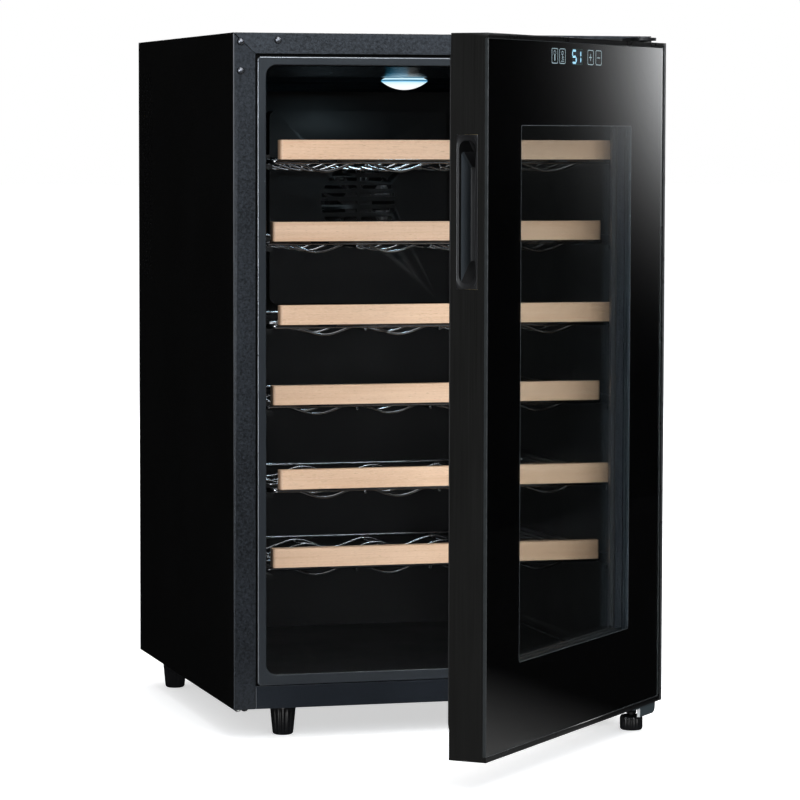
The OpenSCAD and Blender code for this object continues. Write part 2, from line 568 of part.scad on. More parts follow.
// moulded finger cup in the free end of the door
CY = DYI - 17;                // middle of the cup
CR = 9.5;                     // half width of the cup
module handle_cup() color([0.12, 0.12, 0.12]) door_pose() difference() {
  union() {
    bx(DX0-0.4, DX0+2.4, DYI-29, DYI-6.5, HZ0, HZ1);
    translate([DX0+1, CY+CR+1, 0]) rotate([90, 0, 0]) linear_extrude(2*CR+2)
      polygon([[0, HZ0+3.5], [23.5, HZ0+29], [23.5, HZ1-29], [0, HZ1-3.5]]);
  }
  // scoop with sloping ends
  intersection() {
    translate([DX0+1, CY+CR+1, 0]) rotate([90, 0, 0]) linear_extrude(2*CR+2)
      polygon([[-5, HZ0+5.5], [0, HZ0+5.5], [21.5, HZ0+31], [21.5, HZ1-31], [0, HZ1-5.5], [-5, HZ1-5.5]]);
    translate([DX0-4, CY, 0]) union() {
      bx(0, 30, -CR, CR, HZ0+4.5+CR, HZ1-4.5-CR);
      for (z = [HZ0+4.5+CR, HZ1-4.5-CR]) translate([0, 0, z]) rotate([0, 90, 0]) cylinder(r=CR, h=30, $fn=48);
    }
  }
}
module control_board() color([0.1, 0.35, 0.2]) door_pose() union() {
  bx(-88, 68, GY+9, GY+10.6, DZ1-34, DZ1-10);
  for (x = KEYS) bx(x-7, x+7, GY+0.4, GY+9.2, KEYZ-6.5, KEYZ+6.5);
  bx(50, 64, GY+10.5, GY+14, DZ1-32, DZ1-24);
}
module display_module() color([0.06, 0.08, 0.1]) door_pose()
  bx(-21.5, 4.5, GY+0.3, GY+8.9, KEYZ-7.5, KEYZ+7.5);
module hinge_bushes() color([0.8, 0.8, 0.78]) door_pose() for (s = [0, 1]) difference() {
  union() {
    cz(HX, HY, s > 0 ? DZ1-16 : DZ0, s > 0 ? DZ1 : DZ0+16, 6);
    cz(HX, HY, s > 0 ? DZ1 : DZ0-1, s > 0 ? DZ1+1 : DZ0, 8);
  }
  cz(HX, HY, s > 0 ? DZ1-14.5 : DZ0-2, s > 0 ? DZ1+2 : DZ0+14.5, 3.55);
}
module door_stop_plate() color([0.5, 0.55, 0.58]) door_pose() difference() {
  union() {
    bx(HX-58.5, HX-9, HY-16, HY+10, DZ0-1.5, DZ0);
    difference() {
      bx(HX-58.5, HX-0.5, DYO+0.6, DYO+4.1, DZ0-11.2, DZ0);
      bx(HX-10, HX+1, DYO, DYO+5, DZ0-12, DZ0-7.5);
    }
  }
  for (x = [HX-48, HX-28]) cz(x, HY-4, DZ0-3, DZ0+1, 2.1, 24);
}
module door_screws() color([0.12, 0.12, 0.13]) door_pose()
  for (x = [HX-48, HX-28]) union() {
    cz(x, HY-4, DZ0-3.3, DZ0-1.5, 3.6, 32);
    cz(x, HY-4, DZ0-1.7, DZ0+12, 1.5, 24);
  }

// ---------------------------------------------------------------- shelves
SY0 = YF+30;                  // front of the wood when pushed in
SYR = LYB-22;                 // rear rod
function arc_wave(x) = let (u = abs((x + 1000*wave_p) % wave_p - wave_p/2)) // distance from the bottom of the hollow
   wave_a*(0.5 - 0.5*cos(180*u/(wave_p/2)));
WAVE_N = 48;
RX = 184.45;                  // inner face of the side rods
FR = SY0 + 19.05;             // front rod
// one wire bent into four hollows, with level ends
module wave_wire(y, zc) {
  xs = [for (i = [0:WAVE_N]) -2*wave_p + i*4*wave_p/WAVE_N];
  up = concat([[-RX, zc]], [for (x = xs) [x, zc - wave_a + arc_wave(x)]], [[RX, zc]]);
  dn = [for (i = [len(up)-1:-1:0]) [up[i][0], up[i][1]-wave_t]];
  xz(y-wave_t/2, y+wave_t/2) polygon(concat(up, dn));
}
module shelf_pose(k) translate([0, (k % 2 == 1) ? -pulled : 0, wood_bot(k)]) children();
// rods and wires meet at their welds with a hair's gap, so each stays a separate solid
module shelf_wire(k) color([0.8, 0.8, 0.82]) shelf_pose(k) {
  for (s = [-1, 1]) cy(s*187, SY0+16.6, SYR+2.4, -2.5, 2.5, 32);
  cx(-RX, RX, FR, -2.5, 2.5);
  cx(-RX, RX, SYR, -2.5, 2.5);
  for (x = [-wave_p, 0, wave_p]) cy(x, FR+2.55, SYR-2.55, -6.25, 2, 32);
  for (y = [SY0+36, SY0+88, SY0+140, SY0+192, SY0+244, SY0+290]) wave_wire(y, -1.2);
  // tabs and pegs that hold the wood
  for (x = [-125, 125]) {
    bx(x-10, x+10, SY0+15.05, SY0+16.5, -3, 15);
    cy(x, SY0+9.2, SY0+15, 9, 1.45, 24);
  }
}
module shelf_front(k) color([0.87, 0.73, 0.6]) shelf_pose(k)
  difference() {
    translate([0, 0, 0]) linear_extrude(front_h) union() {
      translate([-front_w/2+3, SY0]) square([front_w-6, 15]);
      translate([-front_w/2, SY0+3]) square([front_w, 12]);
      for (s = [-1, 1]) translate([s*(front_w/2-3), SY0+3]) circle(r=3, $fn=32);
    }
    for (x = [-125, 125]) cy(x, SY0+9, SY0+16, 9, 1.5, 24);
  }
module shelf_1_wire() shelf_wire(1);
module shelf_2_wire() shelf_wire(2);
module shelf_3_wire() shelf_wire(3);
module shelf_4_wire() shelf_wire(4);
module shelf_5_wire() shelf_wire(5);
module shelf_6_wire() shelf_wire(6);
module shelf_1_front() shelf_front(1);
module shelf_2_front() shelf_front(2);
module shelf_3_front() shelf_front(3);
module shelf_4_front() shelf_front(4);
module shelf_5_front() shelf_front(5);
module shelf_6_front() shelf_front(6);

side_panel_left();
side_panel_right();
top_panel();
bottom_front_rail();
base_plate();
back_panel();
inner_liner();
insulation_foam();
ceiling_panel();
lamp_lens();
led_board();
air_duct_cover();
inner_fan_frame();
inner_fan_rotor();
cold_side_sink();
thermoelectric_module();
hot_side_sink();
rear_fan_frame();
rear_fan_rotor();
power_supply();
cord_gland();
upper_hinge();
lower_hinge();
hinge_screws();
hinge_hole_plugs();
base_bolts();
back_panel_screws();
foot_front_left();
foot_rear_left();
foot_rear_right();
foot_hinge_side();
door_frame();
door_core();
outer_glass();
glass_border();
spacer_frame();
inner_glass();
door_inner_trim();
door_gasket();
gasket_magnets();
handle_cup();
control_board();
display_module();
hinge_bushes();
door_stop_plate();
door_screws();
shelf_1_wire();
shelf_1_front();
shelf_2_wire();
shelf_2_front();
shelf_3_wire();
shelf_3_front();
shelf_4_wire();
shelf_4_front();
shelf_5_wire();
shelf_5_front();
shelf_6_wire();
shelf_6_front();
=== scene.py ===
import json
import math

import bmesh
import bpy
from mathutils import Matrix, Vector

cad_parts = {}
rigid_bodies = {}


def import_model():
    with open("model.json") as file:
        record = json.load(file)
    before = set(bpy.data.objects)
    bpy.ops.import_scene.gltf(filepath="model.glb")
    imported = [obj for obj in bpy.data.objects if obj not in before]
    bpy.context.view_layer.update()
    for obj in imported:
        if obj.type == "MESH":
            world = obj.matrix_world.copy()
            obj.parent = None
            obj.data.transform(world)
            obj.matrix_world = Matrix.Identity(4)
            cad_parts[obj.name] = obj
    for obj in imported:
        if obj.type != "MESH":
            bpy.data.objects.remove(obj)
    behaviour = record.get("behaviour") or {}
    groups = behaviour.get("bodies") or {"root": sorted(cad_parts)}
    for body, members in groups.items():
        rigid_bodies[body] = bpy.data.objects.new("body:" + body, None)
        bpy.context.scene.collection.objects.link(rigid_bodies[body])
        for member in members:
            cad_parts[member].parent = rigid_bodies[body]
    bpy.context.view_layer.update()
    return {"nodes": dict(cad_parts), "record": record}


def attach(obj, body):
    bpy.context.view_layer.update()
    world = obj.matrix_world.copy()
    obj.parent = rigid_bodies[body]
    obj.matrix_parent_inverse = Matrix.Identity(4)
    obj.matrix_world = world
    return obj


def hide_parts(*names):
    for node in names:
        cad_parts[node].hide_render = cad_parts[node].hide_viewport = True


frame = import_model()
NODES = frame["nodes"]
JOINTS = {j["name"]: j for j in frame["record"]["behaviour"]["joints"]}
SCENE = bpy.context.scene

# ------------------------------------------------------------------ facts, in millimetres
W2, YF, YB, ZB, ZT = 230.0, -240.0, 240.0, 34.0, 744.0
HINGE = JOINTS["door_hinge"]
HX, HY = HINGE["pos_m"][0] * 1000, HINGE["pos_m"][1] * 1000
DX0, DX1, DYI, DYO = -228.0, 230.0, -247.0, -287.0
GY = -283.0
DZ0, DZ1 = 31.0, 736.0
GX1 = 218.5
WX0, WX1, WZ0, WZ1 = -147.0, 135.0, 119.0, 648.0
RX0, RX1, RZ0, RZ1 = -160.0, 148.0, 106.0, 661.0
KEYZ = DZ1 - 19
KEYS = [-66, -47, 25, 46]
LAMP = (-2.0, -88.0, 700.8)
A0 = math.radians(-HINGE["range_deg"][0])
_h = Vector((HX, HY, 0)) * 0.001
DOOR = Matrix.Translation(_h) @ Matrix.Rotation(A0, 4, "Z") @ Matrix.Translation(-_h)
UNDOOR = DOOR.inverted()


def wood_bot(k):
    return 612.3 - (k - 1) * 86.6


def shelf_shift(k):
    return -33.0 if k % 2 else 0.0


# ------------------------------------------------------------------ materials
class Mat:
    """A node material built from a few short calls."""

    def __init__(self, name, **principled):
        self.m = bpy.data.materials.new(name)
        self.m.use_nodes = True
        self.t = self.m.node_tree
        self.t.nodes.clear()
        self.out = self.t.nodes.new("ShaderNodeOutputMaterial")
        self.p = self.t.nodes.new("ShaderNodeBsdfPrincipled")
        self.t.links.new(self.p.outputs[0], self.out.inputs["Surface"])
        self.tc = self.t.nodes.new("ShaderNodeTexCoord")
        for k, v in principled.items():
            self.set(k.replace("_", " "), v)

    def set(self, socket, value):
        s = self.p.inputs[socket]
        if hasattr(value, "node"):
            self.t.links.new(value, s)
        elif s.type == "RGBA":
            s.default_value = (*value[:3], 1.0)
        else:
            s.default_value = value
        return self

    def _in(self, node, idx, value):
        if hasattr(value, "node"):
            self.t.links.new(value, node.inputs[idx])
        else:
            node.inputs[idx].default_value = value

    def vec(self, scale=(1, 1, 1), rot=(0, 0, 0), loc=(0, 0, 0)):
        n = self.t.nodes.new("ShaderNodeMapping")
        n.inputs["Scale"].default_value = scale
        n.inputs["Rotation"].default_value = rot
        n.inputs["Location"].default_value = loc
        self.t.links.new(self.tc.outputs["Object"], n.inputs["Vector"])
        return n.outputs[0]

    def noise(self, v, scale=1.0, detail=3.0, rough=0.5, distort=0.0):
        n = self.t.nodes.new("ShaderNodeTexNoise")
        self.t.links.new(v, n.inputs["Vector"])
        n.inputs["Scale"].default_value = scale
        n.inputs["Detail"].default_value = detail
        n.inputs["Roughness"].default_value = rough
        n.inputs["Distortion"].default_value = distort
        return n.outputs["Fac"]

    def voronoi(self, v, scale=1.0, feature="F1", out="Distance", rand=1.0):
        n = self.t.nodes.new("ShaderNodeTexVoronoi")
        n.feature = feature
        self.t.links.new(v, n.inputs["Vector"])
        n.inputs["Scale"].default_value = scale
        n.inputs["Randomness"].default_value = rand
        return n.outputs[out]

    def xyz(self, v, i):
        n = self.t.nodes.new("ShaderNodeSeparateXYZ")
        self.t.links.new(v, n.inputs[0])
        return n.outputs[i]

    def ramp(self, f, stops, interp="LINEAR"):
        n = self.t.nodes.new("ShaderNodeValToRGB")
        n.color_ramp.interpolation = interp
        e = n.color_ramp.elements
        while len(e) > 1:
            e.remove(e[-1])
        e[0].position = stops[0][0]
        e[0].color = (*stops[0][1], 1)
        for pos, col in stops[1:]:
            x = e.new(pos)
            x.color = (*col, 1)
        self.t.links.new(f, n.inputs[0])
        return n.outputs[0]

    def span(self, f, a, b, c, d, clamp=True):
        n = self.t.nodes.new("ShaderNodeMapRange")
        n.clamp = clamp
        for i, x in enumerate((f, a, b, c, d)):
            self._in(n, i, x)
        return n.outputs[0]

    def math(self, op, a, b=0.0, c=0.0):
        n = self.t.nodes.new("ShaderNodeMath")
        n.operation = op
        for i, x in enumerate((a, b, c)):
            self._in(n, i, x)
        return n.outputs[0]

    def mix(self, f, a, b, blend="MIX"):
        n = self.t.nodes.new("ShaderNodeMix")
        n.data_type = "RGBA"
        n.blend_type = blend
        self._in(n, 0, f)
        for i, x in ((6, a), (7, b)):
            self._in(n, i, x if hasattr(x, "node") else (*x[:3], 1.0))
        return n.outputs[2]

    def bump(self, height, dist, strength=1.0, normal=None):
        n = self.t.nodes.new("ShaderNodeBump")
        n.inputs["Strength"].default_value = strength
        n.inputs["Distance"].default_value = dist
        self.t.links.new(height, n.inputs["Height"])
        if normal is not None:
            self.t.links.new(normal, n.inputs["Normal"])
        return n.outputs[0]


def scaled(c, k):
    return tuple(min(1.0, x * k) for x in c)


def surface(name, base, var=0.12, vscale=18, rough=0.45, rvar=0.06, bscale=900, bdist=0.00006,
            stretch=(1, 1, 1), detail=3, **kw):
    """Paint, plastic or metal with its own grain, blotches and uneven gloss."""
    m = Mat(name, **kw)
    big = m.noise(m.vec(stretch), vscale, 4, 0.6)
    fine = m.noise(m.vec(stretch), bscale, detail, 0.55)
    both = m.math("MULTIPLY_ADD", fine, 0.5, m.math("MULTIPLY", big, 0.5))
    m.set("Base Color", m.mix(m.span(both, 0.3, 0.7, 0, 1), scaled(base, 1 - var), scaled(base, 1 + var)))
    m.set("Roughness", m.span(big, 0.3, 0.7, rough - rvar, rough + rvar))
    if bdist:
        m.set("Normal", m.bump(fine, bdist))
    return m.m


def powder_coat(name, base, rough=0.40, peel=0.00042, scale=430, mottle=0.5, **kw):
    """Textured paint: a leathery orange peel with fine grain on it."""
    m = Mat(name, **kw)
    v = m.vec()
    peelf = m.noise(v, scale, 3, 0.62, 0.4)
    fine = m.noise(v, 1900, 2, 0.6)
    dust = m.noise(v, 9, 5, 0.65)
    f = m.math("ADD", m.math("MULTIPLY", peelf, 0.62), m.math("MULTIPLY", dust, 0.38))
    m.set("Base Color", m.mix(m.span(f, 0.36, 0.66, 0, 1), scaled(base, 1 - mottle), scaled(base, 1 + 2.2 * mottle)))
    m.set("Roughness", m.span(m.math("ADD", m.math("MULTIPLY", fine, 0.6), m.math("MULTIPLY", dust, 0.4)), 0.3, 0.7, rough - 0.07, rough + 0.08))
    m.set("Normal", m.bump(fine, 0.00006, 0.7, m.bump(peelf, peel, 1.0)))
    return m.m


def lit_grain_paint(name, base, rough, mottle, level):
    """A lighter copy of the paint, painted as lit where the light rakes it: the grain shows as fine pale and dark
    specks, and the colour is painted darker towards the bottom as shade.
    """
    m = Mat(name, Specular_IOR_Level=level, Specular_Tint=(0.86, 0.93, 1.0, 1.0))
    v = m.vec()
    cell = m.noise(v, 430, 2, 0.7, 0.6)
    peelf = m.noise(v, 250, 3, 0.6, 0.3)
    cloud = m.noise(v, 16, 4, 0.6)
    f = m.math("ADD", m.math("MULTIPLY", cell, 0.5), m.math("ADD", m.math("MULTIPLY", peelf, 0.32), m.math("MULTIPLY", cloud, 0.18)))
    grain = m.mix(m.span(f, 0.40, 0.60, 0, 1), scaled(base, 1 - mottle), scaled(base, 1 + mottle))
    # painted shade: the colour darkens towards the bottom
    painted_shade_low = m.mix(m.span(m.xyz(v, 2), 0.10, 0.56, 0, 1), (0.62, 0.62, 0.63), (1.0, 1.0, 1.0))
    m.set("Base Color", m.mix(1.0, grain, painted_shade_low, "MULTIPLY"))
    m.set("Roughness", m.span(peelf, 0.3, 0.7, rough - 0.06, rough + 0.08))
    m.set("Normal", m.bump(cell, 0.00012, 0.7, m.bump(peelf, 0.0004, 0.9)))
    return m.m


def fold_highlight_paint(name, lo, hi):
    """Rounded fold of the sheet with a painted highlight: the colour runs from dark at the foot to pale near the top,
    broken by random patches.
    """
    m = Mat(name, Metallic=0.55)
    v = m.vec()
    z = m.span(m.xyz(v, 2), 0.05, 0.74, 0.0, 1.0)
    highlight_patches = m.noise(m.vec((60, 60, 26)), 1.0, 4, 0.6)
    k = m.math("ADD", m.math("MULTIPLY", m.math("POWER", z, 1.6), 0.85), m.math("MULTIPLY", highlight_patches, 0.22))
    m.set("Base Color", m.mix(m.span(k, 0.05, 1.0, 0, 1), lo, hi))
    m.set("Roughness", m.span(highlight_patches, 0.3, 0.7, 0.30, 0.42))
    m.set("Normal", m.bump(m.noise(v, 700, 2), 0.00004, 0.5))
    return m.m


def beech(name):
    m = Mat(name, Coat_Weight=0.25, Coat_Roughness=0.22)
    wide = m.noise(m.vec((3.0, 34, 46)), 1.0, 5, 0.55, 0.6)
    streak = m.noise(m.vec((9.0, 420, 560)), 1.0, 4, 0.6)
    pores = m.noise(m.vec((150, 1900, 2600)), 1.0, 1, 0.4)
    rays = m.noise(m.vec((260, 900, 900), loc=(3, 1, 2)), 1.0, 1, 0.3)
    col = m.ramp(wide, [(0.28, (0.672, 0.430, 0.272)), (0.5, (0.778, 0.525, 0.352)), (0.74, (0.840, 0.590, 0.415))])
    col = m.mix(m.span(streak, 0.35, 0.75, 0.0, 0.5), col, (0.63, 0.385, 0.235))
    col = m.mix(m.span(rays, 0.62, 0.72, 0.0, 0.35), col, (0.86, 0.64, 0.48))
    col = m.mix(m.span(pores, 0.63, 0.72, 0.0, 0.55), col, (0.40, 0.225, 0.125))
    m.set("Base Color", col)
    m.set("Roughness", m.span(streak, 0.3, 0.7, 0.40, 0.54))
    m.set("Normal", m.bump(pores, 0.00005, 0.5, m.bump(streak, 0.00004, 0.6)))
    return m.m


def chrome(name):
    m = Mat(name, Metallic=1.0)
    v = m.vec()
    haze = m.noise(v, 42, 5, 0.6)
    fine = m.noise(v, 1500, 2, 0.5)
    m.set("Base Color", m.mix(m.span(haze, 0.3, 0.7, 0, 1), (0.26, 0.27, 0.285), (0.38, 0.39, 0.41)))
    m.set("Roughness", m.span(haze, 0.35, 0.7, 0.07, 0.17))
    m.set("Normal", m.bump(fine, 0.00001, 0.5))
    return m.m


def galvanised(name, base=(0.42, 0.43, 0.44)):
    m = Mat(name, Metallic=1.0)
    v = m.vec()
    cell = m.voronoi(m.vec((1, 0.6, 1)), 105, "F1", "Color")
    s = m.xyz(cell, 0)
    m.set("Base Color", m.mix(m.span(s, 0, 1, 0, 1), scaled(base, 0.78), scaled(base, 1.22)))
    m.set("Roughness", m.span(m.xyz(cell, 1), 0, 1, 0.34, 0.52))
    m.set("Normal", m.bump(m.noise(v, 700, 3), 0.00003, 0.7))
    return m.m


def metal(name, base, rough=0.3, along=2, scale=1400, **kw):
    """Brushed or drawn metal: fine lines along one axis."""
    m = Mat(name, Metallic=1.0, **kw)
    st = [scale, scale, scale]
    st[along] = scale / 60
    lines = m.noise(m.vec(tuple(st)), 1.0, 2, 0.5)
    big = m.noise(m.vec(), 30, 4)
    m.set("Base Color", m.mix(m.span(lines, 0.3, 0.7, 0, 1), scaled(base, 0.86), scaled(base, 1.12)))
    m.set("Roughness", m.span(big, 0.3, 0.7, rough - 0.05, rough + 0.08))
    m.set("Normal", m.bump(lines, 0.00002, 0.6))
    return m.m


def profile_paint(name, base, rough=0.38, **kw):
    """Satin black extrusion: faint drawn lines along Z and a dusty sheen."""
    m = Mat(name, **kw)
    lines = m.noise(m.vec((900, 900, 9)), 1.0, 3, 0.55)
    fine = m.noise(m.vec(), 1700, 2, 0.5)
    big = m.noise(m.vec((1, 1, 0.35)), 16, 4, 0.6)
    f = m.math("ADD", m.math("MULTIPLY", lines, 0.55), m.math("MULTIPLY", big, 0.45))
    m.set("Base Color", m.mix(m.span(f, 0.35, 0.65, 0, 1), scaled(base, 0.85), scaled(base, 1.16)))
    m.set("Roughness", m.span(f, 0.3, 0.7, rough - 0.06, rough + 0.07))
    m.set("Normal", m.bump(fine, 0.00003, 0.6, m.bump(lines, 0.00003, 0.5)))
    return m.m


def glass(name, tint=(0.965, 0.985, 0.98), ior=1.45, smear=0.012):
    m = Mat(name, Transmission_Weight=1.0, IOR=ior)
    smudge = m.noise(m.vec((1, 1, 0.6)), 14, 5, 0.65)
    m.set("Base Color", m.mix(m.span(smudge, 0.3, 0.8, 0, 1), tint, scaled(tint, 0.985)))
    m.set("Roughness", m.span(smudge, 0.45, 0.85, 0.0, smear))
    return m.m


def lit(name, colour, strength, edge=None, grain=500):
    m = Mat(name, Roughness=0.4)
    n = m.noise(m.vec(), grain, 2)
    col = m.mix(m.span(n, 0.3, 0.7, 0, 1), scaled(colour, 0.9), colour)
    m.set("Base Color", scaled(colour, 0.3))
    m.set("Emission Color", col)
    m.set("Emission Strength", strength)
    return m.m


def foam(name):
    m = Mat(name)
    cells = m.voronoi(m.vec(), 900, "F1")
    big = m.noise(m.vec(), 25, 5, 0.65)
    m.set("Base Color", m.ramp(big, [(0.3, (0.62, 0.50, 0.25)), (0.7, (0.80, 0.70, 0.42))]))
    m.set("Roughness", m.span(big, 0.3, 0.7, 0.85, 0.95))
    m.set("Normal", m.bump(cells, 0.0006, 0.8, m.bump(big, 0.004, 0.4)))
    return m.m


def circuit(name):
    m = Mat(name, Coat_Weight=0.3, Coat_Roughness=0.2)
    v = m.voronoi(m.vec(), 160, "DISTANCE_TO_EDGE", "Distance", 0.4)
    big = m.noise(m.vec(), 90, 3)
    tracks = m.span(v, 0.03, 0.06, 1.0, 0.0)
    m.set("Base Color", m.mix(tracks, m.mix(big, (0.01, 0.10, 0.045), (0.015, 0.14, 0.07)), (0.03, 0.26, 0.12)))
    m.set("Roughness", m.span(big, 0.3, 0.7, 0.3, 0.42))
    m.set("Normal", m.bump(tracks, 0.00005, 0.6))
    return m.m


M = {
    "black_powder_coat": powder_coat("black_powder_coat", (0.0019, 0.0020, 0.0022), 0.40, Specular_IOR_Level=0.22),
    "satin_rail": powder_coat("satin_rail", (0.0085, 0.0105, 0.0145), 0.38, 0.00006, 620, 0.2, Specular_IOR_Level=0.26, Specular_Tint=(0.80, 0.90, 1.0, 1.0)),
    "galvanised": galvanised("galvanised"),
    "liner_plastic": surface("liner_plastic", (0.0042, 0.0043, 0.0046), 0.14, 12, 0.36, 0.05, 1100, 0.00010, Specular_IOR_Level=0.35),
    "ceiling_plastic": surface("ceiling_plastic", (0.0022, 0.0026, 0.0032), 0.12, 12, 0.22, 0.03, 260, 0.00003, Specular_Tint=(0.30, 0.78, 1.0, 1.0)),
    "polyurethane_foam": foam("polyurethane_foam"),
    "led_white": surface("led_white", (0.75, 0.78, 0.74), 0.06, 90, 0.35, 0.05, 900, 0.00003),
    "fan_black": surface("fan_black", (0.012, 0.012, 0.013), 0.15, 40, 0.42, 0.05, 1300, 0.00005),
    "sink_aluminium": metal("sink_aluminium", (0.62, 0.63, 0.65), 0.34, 2),
    "ceramic_plate": surface("ceramic_plate", (0.80, 0.80, 0.77), 0.04, 60, 0.35, 0.05, 1500, 0.00002),
    "case_steel": galvanised("case_steel", (0.5, 0.51, 0.52)),
    "cord_rubber": surface("cord_rubber", (0.012, 0.012, 0.012), 0.15, 60, 0.55, 0.06, 1500, 0.00005),
    "hinge_steel": powder_coat("hinge_steel", (0.0045, 0.0048, 0.0055), 0.40, 0.00006, 620, 0.2),
    "screw_black": metal("screw_black", (0.05, 0.05, 0.052), 0.36, 1, 900),
    "zinc": metal("zinc", (0.62, 0.62, 0.60), 0.30, 0, 900),
    "foot_plastic": surface("foot_plastic", (0.0085, 0.0088, 0.0100), 0.12, 30, 0.17, 0.04, 1400, 0.00002, Specular_IOR_Level=0.75),
    "door_profile": profile_paint("door_profile", (0.0066, 0.0064, 0.0056), 0.40, Specular_IOR_Level=0.25),
    "tempered_glass": glass("tempered_glass"),
    "black_print": surface("black_print", (0.0007, 0.0007, 0.0008), 0.2, 40, 0.5, 0.04, 1500, 0.00001, Specular_IOR_Level=0.0),
    "spacer_grey": metal("spacer_grey", (0.060, 0.072, 0.084), 0.42, 2),
    "clear_glass": glass("clear_glass", (0.955, 0.98, 0.972)),
    "trim_plastic": surface("trim_plastic", (0.0080, 0.0090, 0.0105), 0.12, 20, 0.42, 0.05, 1200, 0.00008),
    "gasket_rubber": surface("gasket_rubber", (0.022, 0.022, 0.024), 0.15, 30, 0.60, 0.06, 1600, 0.00006),
    "magnet": surface("magnet", (0.05, 0.035, 0.03), 0.15, 60, 0.6, 0.06, 900, 0.00006),
    "cup_plastic": surface("cup_plastic", (0.0105, 0.0105, 0.0115), 0.12, 30, 0.42, 0.05, 1300, 0.00006, Specular_IOR_Level=0.3),
    "circuit_board": circuit("circuit_board"),
    "display": surface("display", (0.006, 0.010, 0.014), 0.2, 60, 0.2, 0.03, 900, 0.00001),
    "bush_plastic": surface("bush_plastic", (0.66, 0.66, 0.62), 0.05, 60, 0.38, 0.05, 1500, 0.00004),
    "stop_steel": powder_coat("stop_steel", (0.030, 0.042, 0.048), 0.46, 0.00005, 620, 0.1),
    "chrome_wire": chrome("chrome_wire"),
    "beech": beech("beech"),
}
# lighter copies of the black powder coat for the front faces, painted as lit; the top panel's copy is lighter still
LIT_FLANGE = lit_grain_paint("flange_painted_light", (0.0150, 0.0178, 0.0228), 0.44, 0.78, 0.28)
LIT_FLANGE_TOP = lit_grain_paint("flange_top_painted_light", (0.0230, 0.0268, 0.0335), 0.44, 0.70, 0.34)
# the fold's painted highlight, paler towards the top
FOLD_HIGHLIGHT = fold_highlight_paint("fold_highlight_paint", (0.020, 0.022, 0.026), (0.46, 0.48, 0.52))
# lighter copy of the liner plastic for the lip: a satin coated finish, and painted as lit
LINER_LIP_LIT = surface("liner_lip", (0.0210, 0.0248, 0.0300), 0.06, 20, 0.30, 0.015, 900, 0.00004, Specular_Tint=(0.88, 0.95, 1.0, 1.0), Coat_Weight=0.45, Coat_Roughness=0.16)
# pale metallic edge material: a painted highlight along rounded edges
HIGHLIGHT_EDGE = surface("painted_highlight_edge", (0.30, 0.32, 0.35), 0.12, 60, 0.30, 0.04, 900, 0.00003, Metallic=0.72)
LIP_MID = surface("lip_mid", (0.0075, 0.0075, 0.0080), 0.2, 40, 0.36, 0.05, 900, 0.00003, Specular_IOR_Level=0.3)
# near-black material: painted shade in gaps, seams and the cup's undercut
GAP_SHADE = surface("gap_shade_sheet", (0.0010, 0.0010, 0.0012), 0.2, 60, 0.7, 0.06, 900, 0.00008, Specular_IOR_Level=0.08)
PLUG = surface("plug_gloss", (0.21, 0.22, 0.245), 0.08, 60, 0.36, 0.03, 900, 0.00002, Metallic=1.0)
PLUG_SHADE_RIM = surface("plug_painted_shade_rim", (0.0030, 0.0032, 0.0040), 0.08, 60, 0.25, 0.03, 900, 0.00002)
# darker and paler copies of the profile paint: painted shade on the front lips, a painted highlight on the hinge-side
# bead and the cup's rim crests
SHADED_LIP = surface("lip_painted_shade", (0.0022, 0.0022, 0.0024), 0.2, 40, 0.30, 0.05, 900, 0.00003)
HIGHLIGHT_BEAD = surface("painted_highlight_bead", (0.050, 0.052, 0.055), 0.10, 60, 0.30, 0.05, 900, 0.00003)
HINGE_EDGE_LIT = surface("hinge_edge_painted_light", (0.070, 0.074, 0.084), 0.14, 90, 0.45, 0.06, 1100, 0.00005)
CUP_WALL_LIT = surface("cup_wall_painted_light", (0.046, 0.054, 0.062), 0.10, 50, 0.34, 0.05, 1100, 0.00004)
BOLT_BRIGHT = metal("bolt_bright", (0.80, 0.80, 0.78), 0.26, 0, 900)
STOP_END_LIT = surface("stop_end_painted_light", (0.74, 0.76, 0.77), 0.06, 90, 0.35, 0.05, 900, 0.00003)
WINDOW_LINE = surface("window_line", (0.055, 0.060, 0.066), 0.15, 90, 0.4, 0.05, 900, 0.00002)
GLASS_EDGE = surface("glass_edge", (0.030, 0.034, 0.036), 0.25, 120, 0.22, 0.05, 900, 0.00004, Coat_Weight=0.5, Coat_Roughness=0.1)
CYAN = lit("display_cyan", (0.34, 0.66, 0.86), 1.15)
PRINT_LINE = lit("key_line", (0.55, 0.72, 0.80), 0.45)


